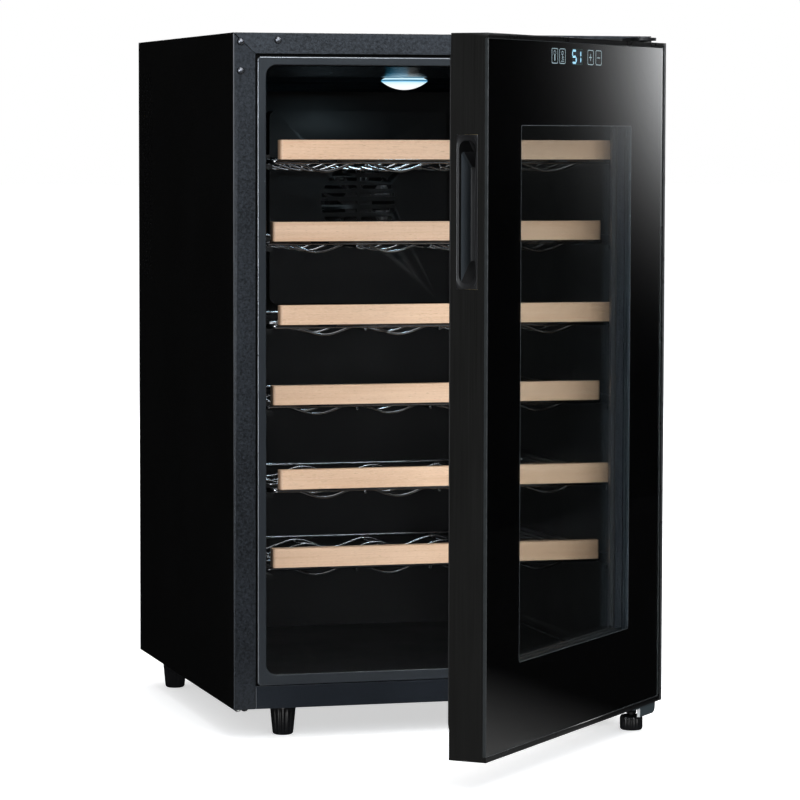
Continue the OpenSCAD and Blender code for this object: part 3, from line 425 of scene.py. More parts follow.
def lamp_material():
    """Milky dome, white in the middle, with a blue rim under a bright collar."""
    m = Mat("lamp_plastic", Roughness=0.25, Transmission_Weight=0.0)
    v = m.vec((1, 1, 1), loc=(-LAMP[0] * 0.001, -LAMP[1] * 0.001, -LAMP[2] * 0.001))
    x, y, z = m.xyz(v, 0), m.xyz(v, 1), m.xyz(v, 2)
    r = m.math("SQRT", m.math("ADD", m.math("MULTIPLY", x, x), m.math("MULTIPLY", y, y)))
    f = m.math("DIVIDE", r, 0.0255)
    face = m.ramp(f, [(0.0, (1.0, 1.0, 1.0)), (0.72, (0.96, 1.0, 1.0)), (0.90, (0.74, 0.94, 1.0)), (0.975, (0.40, 0.76, 0.96)), (1.0, (0.14, 0.44, 0.70))])
    rim = m.ramp(m.span(z, -0.0046, 0.0, 0, 1), [(0.0, (0.14, 0.44, 0.70)), (0.10, (0.03, 0.20, 0.38)), (0.36, (0.03, 0.20, 0.38)), (0.46, (0.66, 0.92, 1.0)), (0.74, (0.72, 0.95, 1.0)), (0.80, (0.06, 0.24, 0.38)), (1.0, (0.01, 0.04, 0.07))])
    col = m.mix(m.math("GREATER_THAN", z, -0.0046), face, rim)
    grain = m.noise(m.vec(), 700, 2)
    m.set("Base Color", m.mix(grain, (0.15, 0.19, 0.22), (0.18, 0.22, 0.25)))
    m.set("Emission Color", col)
    m.set("Emission Strength", 1.0)
    return m.m


M["lamp_plastic"] = lamp_material()


# ------------------------------------------------------------------ mesh tools
def finish_mesh(me, smooth=32):
    me.polygons.foreach_set("use_smooth", [smooth is not None] * len(me.polygons))
    if smooth is not None:
        me.set_sharp_from_angle(angle=math.radians(smooth))


def add(name, bm, body, mats, door=False, smooth=32, node=(), weighted=False):
    """Turns a bmesh in millimetres into a piece that rides on a body."""
    bmesh.ops.scale(bm, vec=(0.001, 0.001, 0.001), verts=bm.verts)
    if door:
        bmesh.ops.transform(bm, matrix=DOOR, verts=bm.verts)
    me = bpy.data.meshes.new(name)
    bm.to_mesh(me)
    bm.free()
    for m in mats if isinstance(mats, (list, tuple)) else [mats]:
        me.materials.append(m)
    finish_mesh(me, smooth)
    ob = bpy.data.objects.new(name, me)
    SCENE.collection.objects.link(ob)
    if weighted:
        w = ob.modifiers.new("weighted", "WEIGHTED_NORMAL")
        w.keep_sharp = True
    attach(ob, body)
    if node:
        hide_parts(*([node] if isinstance(node, str) else node))
    return ob


def join(target, other):
    """Adds one bmesh to another."""
    me = bpy.data.meshes.new("tmp")
    other.to_mesh(me)
    other.free()
    target.from_mesh(me)
    bpy.data.meshes.remove(me)
    return target


def set_mat(bm, i):
    for f in bm.faces:
        f.material_index = i
    return bm


def loops(rings, close_ring=True, cap=(True, True)):
    """A skin through rings of points, each ring with the same count."""
    bm = bmesh.new()
    vs = [[bm.verts.new(p) for p in r] for r in rings]
    n = len(vs[0])
    for a, b in zip(vs, vs[1:]):
        for i in range(n if close_ring else n - 1):
            j = (i + 1) % n
            q = [a[i], a[j], b[j], b[i]]
            q = [v for k, v in enumerate(q) if v not in q[:k]]
            if len(q) > 2:
                try:
                    bm.faces.new(q)
                except ValueError:
                    pass
    if close_ring and cap[0]:
        bm.faces.new(list(reversed(vs[0])))
    if close_ring and cap[1]:
        bm.faces.new(vs[-1])
    bmesh.ops.recalc_face_normals(bm, faces=bm.faces)
    return bm


def tube(path, r, sides=12, closed=False, dome=True):
    """A round rod along a path, with softly rounded ends."""
    P = [Vector(p) for p in path]
    n = len(P)
    T = []
    for i in range(n):
        a = P[(i - 1) % n] if closed or i > 0 else P[i]
        b = P[(i + 1) % n] if closed or i < n - 1 else P[i]
        T.append((b - a).normalized())
    up = Vector((0, 0, 1)) if abs(T[0].z) < 0.9 else Vector((0, 1, 0))
    N = [(up - T[0] * up.dot(T[0])).normalized()]
    for i in range(1, n):
        q = T[i - 1].rotation_difference(T[i])
        v = q @ N[-1]
        N.append((v - T[i] * v.dot(T[i])).normalized())
    rings = []

    def ring(c, t, nn, rr):
        b = t.cross(nn)
        return [c + (nn * math.cos(2 * math.pi * k / sides) + b * math.sin(2 * math.pi * k / sides)) * rr for k in range(sides)]

    if not closed and dome:
        rings.append(ring(P[0], T[0], N[0], r * 0.55))
        rings.append(ring(P[0] + T[0] * r * 0.12, T[0], N[0], r * 0.86))
        rings.append(ring(P[0] + T[0] * r * 0.34, T[0], N[0], r))
        for i in range(1, n - 1):
            rings.append(ring(P[i], T[i], N[i], r))
        rings.append(ring(P[-1] - T[-1] * r * 0.34, T[-1], N[-1], r))
        rings.append(ring(P[-1] - T[-1] * r * 0.12, T[-1], N[-1], r * 0.86))
        rings.append(ring(P[-1], T[-1], N[-1], r * 0.55))
        return loops(rings)
    for i in range(n):
        rings.append(ring(P[i], T[i], N[i], r))
    if closed:
        rings.append(rings[0])
        bm = loops(rings, cap=(False, False))
        bmesh.ops.remove_doubles(bm, verts=bm.verts, dist=1e-4)
        bmesh.ops.recalc_face_normals(bm, faces=bm.faces)
        return bm
    return loops(rings)


def lathe(profile, cx, cy, n=64, wave=None):
    """Turns (radius, z, share of the wave) points about a vertical axis."""
    rings = []
    for p in profile:
        r, z = p[0], p[1]
        k = p[2] if len(p) > 2 else 0
        rings.append([(cx + (r - (wave(i / n) * k if wave else 0)) * math.cos(2 * math.pi * i / n),
                       cy + (r - (wave(i / n) * k if wave else 0)) * math.sin(2 * math.pi * i / n), z) for i in range(n)])
    return loops(rings)


def rrect_ring(x0, x1, z0, z1, r, y, seg=6):
    pts = []
    for cx, cz, a0 in ((x1 - r, z1 - r, 0), (x0 + r, z1 - r, 90), (x0 + r, z0 + r, 180), (x1 - r, z0 + r, 270)):
        for i in range(seg + 1):
            a = math.radians(a0 + 90 * i / seg)
            pts.append((cx + r * math.cos(a), y, cz + r * math.sin(a)))
    return pts


def frame_sweep(x0, x1, z0, z1, r, profile, seg=6):
    """A closed profile of (inset, y) swept round a rounded rectangle."""
    rings = [rrect_ring(x0 + a, x1 - a, z0 + a, z1 - a, max(0.4, r - a), y, seg) for a, y in profile]
    rings.append(rings[0])
    bm = loops(rings, cap=(False, False))
    bmesh.ops.remove_doubles(bm, verts=bm.verts, dist=1e-4)
    bmesh.ops.recalc_face_normals(bm, faces=bm.faces)
    return bm


def prism(points, axis, a, b):
    """An outline thickened along an axis: 'x' takes (y, z), 'y' takes (x, z), 'z' takes (x, y)."""
    def at(p, t):
        return {"x": (t, p[0], p[1]), "y": (p[0], t, p[1]), "z": (p[0], p[1], t)}[axis]
    return loops([[at(p, a) for p in points], [at(p, b) for p in points]])


def bevel_sharp(bm, width, segs=2, angle=28, min_len=0.0, pick=None):
    sel = []
    for e in bm.edges:
        if len(e.link_faces) != 2 or e.calc_length() < min_len:
            continue
        if e.calc_face_angle(0) < math.radians(angle):
            continue
        if pick and not pick(e.verts[0].co, e.verts[1].co):
            continue
        sel.append(e)
    if sel:
        bmesh.ops.bevel(bm, geom=sel, offset=width, offset_type="OFFSET", segments=segs, profile=0.5, affect="EDGES", clamp_overlap=True)
    return bm


def cad_mesh(node, door=False):
    """A node's own mesh as a clean bmesh in millimetres, coplanar triangles joined."""
    bm = bmesh.new()
    bm.from_mesh(NODES[node].data)
    if door:
        bmesh.ops.transform(bm, matrix=UNDOOR, verts=bm.verts)
    bmesh.ops.scale(bm, vec=(1000, 1000, 1000), verts=bm.verts)
    bmesh.ops.remove_doubles(bm, verts=bm.verts, dist=0.004)
    bmesh.ops.dissolve_limit(bm, angle_limit=math.radians(0.5), verts=bm.verts, edges=bm.edges)
    for f in bm.faces:
        f.material_index = 0
    return bm


def refined(node, body, slot, width=0.4, segs=2, angle=28, min_len=4, door=False, picks=(), name=None, mats=None):
    """Stands for a CAD node: the same shape with its edges rounded."""
    bm = cad_mesh(node, door)
    for w, s, pick in picks:
        bevel_sharp(bm, w, s, 28, 0, pick)
    if width:
        bevel_sharp(bm, width, segs, angle, min_len)
    return add(name or node + "_visual", bm, body, mats or M[slot], door, 40, node, weighted=True)


def near(a, b, t=0.06):
    return abs(a - b) < t


# ------------------------------------------------------------------ cabinet
def fold_left(s):
    return lambda a, b: near(a.x, s * W2) and near(b.x, s * W2) and near(a.y, YF) and near(b.y, YF) and abs(a.z - b.z) > 20


def sheet(node, folds):
    """A folded sheet: powder coat outside; its front faces get a lighter grainy copy of the paint, painted as lit, and
    its front fold a painted highlight line.
    """
    bm = cad_mesh(node)
    for w, s, pick in folds:
        bevel_sharp(bm, w, s, 28, 0, pick)
    bevel_sharp(bm, 0.3, 2, 28, 4)
    for f in bm.faces:
        c = f.calc_center_median()
        n = f.normal
        if c.y < YF + 0.1 and n.y < -0.9:
            f.material_index = 1
        elif c.y < YF + 1.3 and n.y < -0.12 and n.x * c.x > 0 and abs(n.x) > 0.12 and abs(c.x) > W2 - 1.4 and abs(n.z) < 0.3:
            f.material_index = 2
    return add(node + "_visual", bm, "cabinet", [M["black_powder_coat"], LIT_FLANGE_TOP if node == "top_panel" else LIT_FLANGE, FOLD_HIGHLIGHT], False, 40, node, weighted=True)


sheet("side_panel_left", [(1.15, 4, fold_left(-1))])
sheet("side_panel_right", [(1.15, 4, fold_left(1))])
sheet("top_panel", [(0.85, 3, lambda a, b: near(a.z, ZT) and near(b.z, ZT) and near(a.y, YF) and near(b.y, YF) and abs(a.x - b.x) > 20),
                    (0.7, 3, lambda a, b: near(a.z, ZT) and near(b.z, ZT) and near(abs(a.x), W2) and near(abs(b.x), W2))])
bm = cad_mesh("bottom_front_rail")
bevel_sharp(bm, 0.5, 3, 28, 4)
# the rail's left front corner gets the painted highlight edge
for f in bm.faces:
    c = f.calc_center_median()
    if c.x < -205.9 and c.y < YF + 0.6 and f.normal.x < -0.15 and f.normal.y < -0.15:
        f.material_index = 1
add("bottom_front_rail_visual", bm, "cabinet", [M["satin_rail"], HIGHLIGHT_EDGE], False, 40, "bottom_front_rail", weighted=True)
# near-black strips at the ends of the rail: painted shade in the seams
for sx in (-1, 1):
    add("rail_seam_" + ("left" if sx < 0 else "right"), prism([(sx * 206.15, YF - 0.05), (sx * 207.0, YF - 0.05), (sx * 207.0, YF + 0.3), (sx * 206.15, YF + 0.3)], "z", 35.0, 57.9),
        "cabinet", GAP_SHADE, smooth=None)


def liner():
    """The moulded liner: its lip gets a lighter satin copy of the plastic, painted as lit, and its left and top rim
    edges a painted highlight; its mouth is rounded.
    """
    bm = cad_mesh("inner_liner")
    y0 = min(v.co.y for v in bm.verts)
    inner = lambda v: near(v.y, y0, 0.1) and abs(v.x) < 195.2 and 69.2 < v.z < 711.2
    outer = lambda v: near(v.y, y0, 0.1) and (abs(v.x) > 198.5 or v.z > 713.0 or v.z < 66.0)
    bevel_sharp(bm, 2.6, 4, 28, 0, lambda a, b: inner(a) and inner(b))
    bevel_sharp(bm, 1.0, 3, 28, 0, lambda a, b: outer(a) and outer(b))
    bevel_sharp(bm, 0.4, 2, 28, 4, lambda a, b: min(a.y, b.y) > y0 + 3)
    for f in bm.faces:
        c = f.calc_center_median()
        f.material_index = 1 if c.y < y0 + 2.2 and not (abs(c.x) < 196 and 68.5 < c.z < 712 and f.normal.y > -0.75) else 0
        # only the left and top rim edges get the painted highlight edge
        rim = c.x < -202.95 or c.z > 718.3
        if c.y < y0 + 1.1 and rim and -0.97 < f.normal.y < -0.15:
            f.material_index = 2
    add("inner_liner_visual", bm, "cabinet", [M["liner_plastic"], LINER_LIP_LIT, HIGHLIGHT_EDGE], False, 40, "inner_liner", weighted=True)


liner()
# a near-black sheet in the gap between the flange and the liner's lip: a painted shadow of the gap
add("gap_shade_sheet", frame_sweep(-206.35, 206.35, 58.3, 722.3, 0.4, [(0, YF + 3.6), (9.0, YF + 3.6), (9.0, YF + 4.6), (0, YF + 4.6)], 2),
    "cabinet", GAP_SHADE, smooth=None)
bm = cad_mesh("ceiling_panel")
for v in bm.verts:
    if near(v.co.y, -160, 1.2) and 699 < v.co.z < 704:
        v.co.y += 26.0
bevel_sharp(bm, 0.6, 3, 3, 4)
add("ceiling_panel_visual", bm, "cabinet", M["ceiling_plastic"], False, 40, "ceiling_panel", weighted=True)
refined("air_duct_cover", "cabinet", "liner_plastic", 0.5, 2)


def cut(bm, co, no):
    bmesh.ops.bisect_plane(bm, geom=list(bm.verts) + list(bm.edges) + list(bm.faces), plane_co=co, plane_no=no, dist=0.001)


def top_hinge():
    """Dark bracket whose front edge is painted paler, as a painted highlight."""
    bm = cad_mesh("upper_hinge")
    z0 = ZT - 4.0
    for x in (200.0, 222.0):
        cut(bm, (x, 0, 0), (1, 0, 0))
    bevel_sharp(bm, 0.3, 2, 28, 4)
    for f in bm.faces:
        c = f.calc_center_median()
        if c.z > z0 and c.y < YF - 3 and abs(f.normal.z) < 0.6 and 200.0 < c.x < 222.0 and f.normal.y < -0.3:
            f.material_index = 1
    add("upper_hinge_visual", bm, "cabinet", [M["hinge_steel"], HINGE_EDGE_LIT], False, 40, "upper_hinge", weighted=True)


top_hinge()
refined("lower_hinge", "cabinet", "hinge_steel", 0.3, 2)
# stop plate: a tab screwed under the door, and a blade whose end face is painted bright as a highlight
bm = cad_mesh("door_stop_plate", True)
bmesh.ops.bisect_plane(bm, geom=list(bm.verts) + list(bm.edges) + list(bm.faces), plane_co=(0, 0, DZ0 - 1.7), plane_no=(0, 0, 1), dist=0.001, clear_inner=True)
bmesh.ops.holes_fill(bm, edges=[e for e in bm.edges if e.is_boundary], sides=0)
bevel_sharp(bm, 0.2, 2, 28, 4)
bl = prism([(168.0, DZ0 - 1.0), (168.0, DZ0 - 10.9), (168.3, DZ0 - 11.2), (204.0, DZ0 - 11.2), (207.6, DZ0 - 10.0), (209.8, DZ0 - 7.4), (210.5, DZ0 - 4.6), (210.5, DZ0 - 1.0)], "y", DYO + 0.6, DYO + 4.1)
bevel_sharp(bl, 0.3, 2, 40)
for f in bl.faces:
    f.material_index = 1 if f.calc_center_median().x < 168.4 and f.normal.x < -0.6 else 0
join(bm, bl)
add("door_stop_plate_visual", bm, "door", [M["stop_steel"], STOP_END_LIT], True, 40, "door_stop_plate", weighted=True)
refined("door_inner_trim", "door", "trim_plastic", 0.5, 2, door=True)

# glossy domed plugs of the unused hinge holes
bm = bmesh.new()
for px_, pz_ in ((-W2 + 8, ZT - 9.7), (-W2 + 7.8, ZT - 39.7), (-W2 + 48, ZT - 7.7)):
    prof = [(0.02, -2.15), (0.9, -2.1), (1.8, -1.88), (2.6, -1.5), (3.25, -0.98), (3.7, -0.42), (3.86, -0.12), (3.9, 0.0), (2.3, 0.0), (2.3, 6.0), (0.02, 6.0)]
    ring_ = [[(px_ + r * math.cos(2 * math.pi * i / 40), YF + y, pz_ + r * math.sin(2 * math.pi * i / 40)) for i in range(40)] for r, y in prof]
    one = loops(ring_)
    for f in one.faces:
        c = f.calc_center_median()
        f.material_index = 1 if math.hypot(c.x - px_, c.z - pz_) > 3.0 else 0
    join(bm, one)
# the domes' outer rings carry a near-black material, painted as shade round each plug
add("plug_domes", bm, "cabinet", [PLUG, PLUG_SHADE_RIM], smooth=50, node="hinge_hole_plugs")

# lamp under the ceiling: shallow dome, rim and collar
dome = []
RS, LB = 39.4, LAMP[2] - 13.7
for i in range(15):
    a = math.asin(25.2 / RS) * i / 14
    dome.append((max(0.05, RS * math.sin(a)), LB + RS - RS * math.cos(a)))
dome += [(25.45, LAMP[2] - 4.4), (25.55, LAMP[2] - 4.1), (25.45, LAMP[2] - 3.7), (25.0, LAMP[2] - 3.0), (24.2, LAMP[2] - 2.3), (23.0, LAMP[2] - 1.65),
         (21.9, LAMP[2] - 1.2), (21.6, LAMP[2] - 1.0), (21.6, LAMP[2] + 3.0), (0.05, LAMP[2] + 3.0)]
add("lamp_dome", lathe(dome, LAMP[0], LAMP[1], 96), "cabinet", M["lamp_plastic"], smooth=40, node="lamp_lens")


# levelling feet
def flutes(n, sharp=1.0):
    return lambda t: (0.5 - 0.5 * math.cos(2 * math.pi * n * t)) ** sharp


for f, (fx, fy) in {"foot_front_left": (-167, -200), "foot_rear_left": (-206, 159), "foot_rear_right": (206, 159)}.items():
    prof = [(0.05, 0.0), (8.6, 0.0), (9.4, 0.25, 0.2), (10.6, 1.1, 0.6), (11.2, 2.2, 0.9), (11.7, 6, 1.0), (12.6, 15, 1.0), (13.45, 24, 1.0), (13.8, 27.6, 1.0), (14.0, 28.8, 0.3),
            (14.05, 29.2, 0), (14.2, 30.0, 0), (14.2, 32.2, 0), (14.0, 33.2, 0), (13.4, 33.7, 0), (4.0, 33.7, 0), (4.0, 50.6, 0), (3.4, 51.0, 0), (0.05, 51.0, 0)]
    add(f + "_visual", lathe(prof, fx, fy, 168, lambda t: 1.15 * flutes(14, 1.6)(t)), f + "_body", M["foot_plastic"], smooth=50, node=f)
hfx, hfy = HX - 8.5, HY - 1
prof = [(0.05, 0), (9.6, 0), (10.8, 0.25, 0.3), (11.6, 0.9, 0.8), (12.1, 2.0, 1.0), (12.25, 4, 1.0), (12.3, 12.4, 1.0), (12.1, 14.0, 0.8), (11.5, 15.2, 0.3), (10.6, 15.9, 0), (9.6, 16.0, 0),
        (6.5, 16.0, 0), (6.0, 15.3, 0), (3.0, 15.3, 0), (3.0, 28.4, 0), (2.6, 28.8, 0), (0.05, 28.8, 0)]
add("foot_hinge_side_visual", lathe(prof, hfx, hfy, 200, lambda t: 0.85 * flutes(20, 1.0)(t)), "foot_hinge_side_body", M["foot_plastic"], smooth=50, node="foot_hinge_side")

# ------------------------------------------------------------------ shelves
SY0, SYR, FR, RX = -210.0, 108.0, -190.95, 184.45
WP, WA = 82.0, 10.0


def arc(x):
    u = abs((x + 1000 * WP) % WP - WP / 2)
    return WA * (0.5 - 0.5 * math.cos(math.pi * u / (WP / 2)))


for k in range(1, 7):
    body = "shelf_%d" % k
    dy, z0 = shelf_shift(k), wood_bot(k)

    def at(x, y, z):
        return (x, y + dy, z + z0)

    r = 9.0
    path = []
    for cx, cy, a0 in ((187 - r, SYR - r, 0), (-187 + r, SYR - r, 90), (-187 + r, FR + r, 180), (187 - r, FR + r, 270)):
        for i in range(7):
            a = math.radians(a0 + 90 * i / 6)
            path.append(at(cx + r * math.cos(a), cy + r * math.sin(a), -2.5))
    bm = tube(path, 2.5, 14, closed=True)
    for x in (-WP, 0, WP):
        join(bm, tube([at(x, FR + 1.2, -6.25), at(x, -100, -6.25), at(x, 0, -6.25), at(x, SYR - 1.2, -6.25)], 2.0, 12))
    for y in (SY0 + 36, SY0 + 88, SY0 + 140, SY0 + 192, SY0 + 244, SY0 + 290):
        pts = [at(-185.6, y, -2.7)] + [at(x, y, -2.7 - WA + arc(x)) for x in [-164 + 4.1 * i for i in range(81)]] + [at(185.6, y, -2.7)]
        join(bm, tube(pts, 1.5, 10))
    for x in (-125, 125):
        t = prism([(x - 10, -3), (x + 10, -3), (x + 10, 13), (x + 8, 15), (x - 8, 15), (x - 10, 13)], "y", SY0 + 15.05, SY0 + 16.5)
        bmesh.ops.translate(t, vec=(0, dy, z0), verts=t.verts)
        join(bm, t)
    add("shelf_%d_rods" % k, bm, body, M["chrome_wire"], smooth=50, node="shelf_%d_wire" % k)
    refined("shelf_%d_front" % k, body, "beech", 0.9, 3, angle=50, min_len=0.1, name="shelf_%d_wood" % k,
            picks=[(2.8, 4, lambda a, b: near(abs(a.x), 180) and near(abs(b.x), 180) and (a - b).length > 15)])

# ------------------------------------------------------------------ door
def door_skin():
    """The door's profile: its front lips are painted darker as shade, with a pale bead painted as a highlight along the
    hinge side.
    """
    bm = cad_mesh("door_frame", True)
    for x in (222.0, 226.8):
        cut(bm, (x, 0, 0), (1, 0, 0))
    cut(bm, (0, 0, DZ0 + 2.2), (0, 0, 1))
    for v in bm.verts:
        if near(v.co.y, DYO) and (near(v.co.x, DX1) or near(v.co.x, GX1 + 0.3)) and DZ0 + 1 < v.co.z < DZ1 - 1 or \
           near(v.co.y, DYO) and near(v.co.x, DX1):
            v.co.y += 1.1
    bevel_sharp(bm, 0.9, 3, 28, 0, lambda a, b: near(a.y, DYI) and near(b.y, DYI) and (a - b).length > 300)
    bevel_sharp(bm, 0.35, 2, 28, 20)
    for f in bm.faces:
        c = f.calc_center_median()
        if c.y > DYO + 1.6 or f.normal.y > -0.3:
            continue
        if c.x > 221.9 and c.x < 226.9 and c.z < DZ1 - 4.4:
            f.material_index = 2
        elif c.z < DZ0 + 2.3 and c.x < 221:
            f.material_index = 3
        else:
            f.material_index = 1
    add("door_frame_visual", bm, "door", [M["door_profile"], SHADED_LIP, HIGHLIGHT_BEAD, LIP_MID], True, 40, "door_frame", weighted=True)


door_skin()

# outer pane with ground edges
bm = bmesh.new()
bmesh.ops.create_cube(bm, size=1.0)
bmesh.ops.scale(bm, vec=(GX1 - DX0, GY - DYO, DZ1 - 4.8 - DZ0 - 5), verts=bm.verts)
bmesh.ops.translate(bm, vec=((GX1 + DX0) / 2, (GY + DYO) / 2, (DZ1 - 4.8 + DZ0 + 5) / 2), verts=bm.verts)
for f in bm.faces:
    f.material_index = 0 if abs(f.normal.y) > 0.9 else 1
bmesh.ops.bevel(bm, geom=list(bm.edges), offset=0.7, offset_type="OFFSET", segments=2, profile=0.5, affect="EDGES", clamp_overlap=True, material=1)
pane = add("outer_pane", bm, "door", [M["tempered_glass"], GLASS_EDGE], True, None, "outer_glass")
pane.visible_shadow = False
bm = cad_mesh("inner_glass", True)
bevel_sharp(bm, 0.5, 2)
pane2 = add("inner_pane", bm, "door", M["clear_glass"], True, None, "inner_glass")
pane2.visible_shadow = False

# black print behind the outer pane, with the window and the display left clear
def print_border():
    y0, y1 = GY + 0.12, GY + 0.3
    ox0, ox1, oz0, oz1 = DX0 + 2.4, GX1 - 0.4, DZ0 + 5.4, DZ1 - 5.2
    wx0, wx1, wz0, wz1 = -22.0, 5.0, KEYZ - 8, KEYZ + 8
    bm = bmesh.new()

    def plate(x0, x1, z0, z1):
        b = bmesh.new()
        bmesh.ops.create_cube(b, size=1.0)
        bmesh.ops.scale(b, vec=(x1 - x0, y1 - y0, z1 - z0), verts=b.verts)
        bmesh.ops.translate(b, vec=((x0 + x1) / 2, (y0 + y1) / 2, (z0 + z1) / 2), verts=b.verts)
        join(bm, b)

    plate(ox0, WX0 - 6, oz0, oz1)
    plate(WX1 + 6, ox1, oz0, oz1)
    plate(WX0 - 6, WX1 + 6, oz0, WZ0 - 6)
    plate(WX0 - 6, wx0, WZ1 + 6, oz1)
    plate(wx1, WX1 + 6, WZ1 + 6, oz1)
    plate(wx0, wx1, WZ1 + 6, wz0)
    plate(wx0, wx1, wz1, oz1)
    join(bm, frame_sweep(WX0 - 6, WX1 + 6, WZ0 - 6, WZ1 + 6, 9.0, [(0, y0), (6, y0), (6, y1), (0, y1)]))
    # the square corners left outside the rounded ones
    for sx, sz in ((0, 0), (0, 1), (1, 0), (1, 1)):
        cx = WX1 + 6 - 9 if sx else WX0 - 6 + 9
        cz = WZ1 + 6 - 9 if sz else WZ0 - 6 + 9
        qx, qz = (1 if sx else -1), (1 if sz else -1)
        pts = [(cx + qx * 9, cz + qz * 9)] + [(cx + qx * 8.9 * math.cos(math.radians(a)), cz + qz * 8.9 * math.sin(math.radians(a))) for a in range(0, 91, 15)]
        join(bm, prism(pts, "y", y0, y1))
    return bm


border = add("print_border", print_border(), "door", M["black_print"], True, None, "glass_border")
border.visible_shadow = False

# perforated spacer between the panes
def spacer_material():
    m = Mat("spacer_perforated", Metallic=1.0)
    v = m.vec()
    x, y, z = m.xyz(v, 0), m.xyz(v, 1), m.xyz(v, 2)

    def row(i):
        r = UNDOOR[i]
        return m.math("ADD", m.math("ADD", m.math("MULTIPLY", x, r[0]), m.math("MULTIPLY", y, r[1])), r[3])

    xc, yc = row(0), row(1)
    along = m.math("ADD", xc, z)
    dots = None
    for y0, off, rr in ((GY + 9.9, 0.0, 0.85), (GY + 13.2, 0.5, 0.85), (GY + 1.3, 0.25, 1.0)):
        u = m.math("MULTIPLY", m.math("SUBTRACT", m.math("FRACT", m.math("ADD", m.math("DIVIDE", along, 0.005), 1000.0 + off)), 0.5), 0.005)
        w = m.math("SUBTRACT", yc, y0 * 0.001)
        d = m.math("SQRT", m.math("ADD", m.math("MULTIPLY", u, u), m.math("MULTIPLY", w, w)))
        k = m.span(d, rr * 0.0006, rr * 0.0011, 1.0, 0.0)
        dots = k if dots is None else m.math("MAXIMUM", dots, k)
    band = m.span(m.math("SUBTRACT", yc, (GY + 7.2) * 0.001), -0.0002, 0.0002, 0.0, 1.0)
    fine = m.noise(m.vec((700, 700, 60)), 1.0, 3, 0.6)
    blot = m.noise(m.vec(), 160, 4, 0.65)
    base = m.mix(band, (0.021, 0.029, 0.033), (0.030, 0.036, 0.043))
    base = m.mix(m.span(blot, 0.35, 0.65, 0.0, 0.55), base, (0.013, 0.016, 0.020))
    base = m.mix(m.span(fine, 0.35, 0.7, 0.0, 0.3), base, (0.046, 0.052, 0.060))
    m.set("Base Color", m.mix(m.math("MULTIPLY", dots, 0.62), base, (0.010, 0.012, 0.014)))
    m.set("Roughness", m.span(fine, 0.3, 0.7, 0.36, 0.50))
    m.set("Normal", m.bump(dots, 0.0004, 0.8, m.bump(fine, 0.00004, 0.6)))
    return m.m


g0 = GY + 0.3
sp = [(0, g0), (12.3, g0), (12.5, g0 + 0.3), (12.5, g0 + 3.4), (11.9, g0 + 3.6), (11.9, g0 + 4.0), (12.3, g0 + 4.2), (12.3, g0 + 6.4), (11.2, g0 + 6.7), (11.2, g0 + 7.3),
      (12.5, g0 + 7.6), (12.5, GY + 15.7), (12.2, GY + 16.0), (0, GY + 16.0)]
add("spacer_visual", frame_sweep(RX0, RX1, RZ0, RZ1, 15.5, sp, 5), "door", spacer_material(), True, 40, "spacer_frame")
# thin ground line round the clear window, on the back of the outer pane
add("window_line", frame_sweep(WX0 - 0.1, WX1 + 0.1, WZ0 - 0.1, WZ1 + 0.1, 3.2, [(0, GY + 0.02), (0.7, GY + 0.02), (0.7, GY + 0.10), (0, GY + 0.10)], 6),
    "door", WINDOW_LINE, True, None)

# seal with a bellows section
gp = [(0.4, DYI + 0.1), (0.0, DYI + 0.8), (0.5, DYI + 1.9), (2.6, DYI + 2.4), (3.4, DYI + 3.2), (2.2, DYI + 4.3), (2.0, DYI + 5.4), (2.6, DYI + 6.2), (4.0, DYI + 6.6),
      (9.0, DYI + 6.55), (14.0, DYI + 6.6), (15.4, DYI + 6.2), (16.0, DYI + 5.4), (15.8, DYI + 4.3), (14.6, DYI + 3.2), (15.4, DYI + 2.4), (17.5, DYI + 1.9), (18.0, DYI + 0.8), (17.6, DYI + 0.1)]
add("door_seal", frame_sweep(-219, 213, 48, 728, 19.0, gp, 10), "door", M["gasket_rubber"], True, 40, "door_gasket")


# key outlines, symbols and figures behind the outer pane
def flat(points, y0=GY + 0.03, y1=GY + 0.09):
    return prism(points, "y", y0, y1)


def stroke(a, b, w):
    (ax, az), (bx_, bz) = a, b
    dx, dz = bx_ - ax, bz - az
    l = math.hypot(dx, dz)
    nx, nz = -dz / l * w / 2, dx / l * w / 2
    return flat([(ax + nx, az + nz), (bx_ + nx, bz + nz), (bx_ - nx, bz - nz), (ax - nx, az - nz)])


def outline(cx, cz, hw, hh, r, w):
    return frame_sweep(cx - hw, cx + hw, cz - hh, cz + hh, r, [(0, GY + 0.03), (w, GY + 0.03), (w, GY + 0.09), (0, GY + 0.09)], 6)


bm = bmesh.new()
for x in KEYS:
    join(bm, outline(x, KEYZ, 7.7, 7.6, 2.2, 0.75))
for x in KEYS[2:]:
    join(bm, stroke((x - 3.6, KEYZ), (x + 3.6, KEYZ), 1.0))
join(bm, stroke((KEYS[2], KEYZ - 3.6), (KEYS[2], KEYZ + 3.6), 1.0))
x = KEYS[0]
# lamp key: a bulb on its cap
join(bm, frame_sweep(x - 2.6, x + 2.6, KEYZ + 0.4, KEYZ + 5.4, 2.4, [(0, GY + 0.03), (0.6, GY + 0.03), (0.6, GY + 0.09), (0, GY + 0.09)], 6))
join(bm, stroke((x, KEYZ + 1.2), (x, KEYZ - 4.9), 2.2))
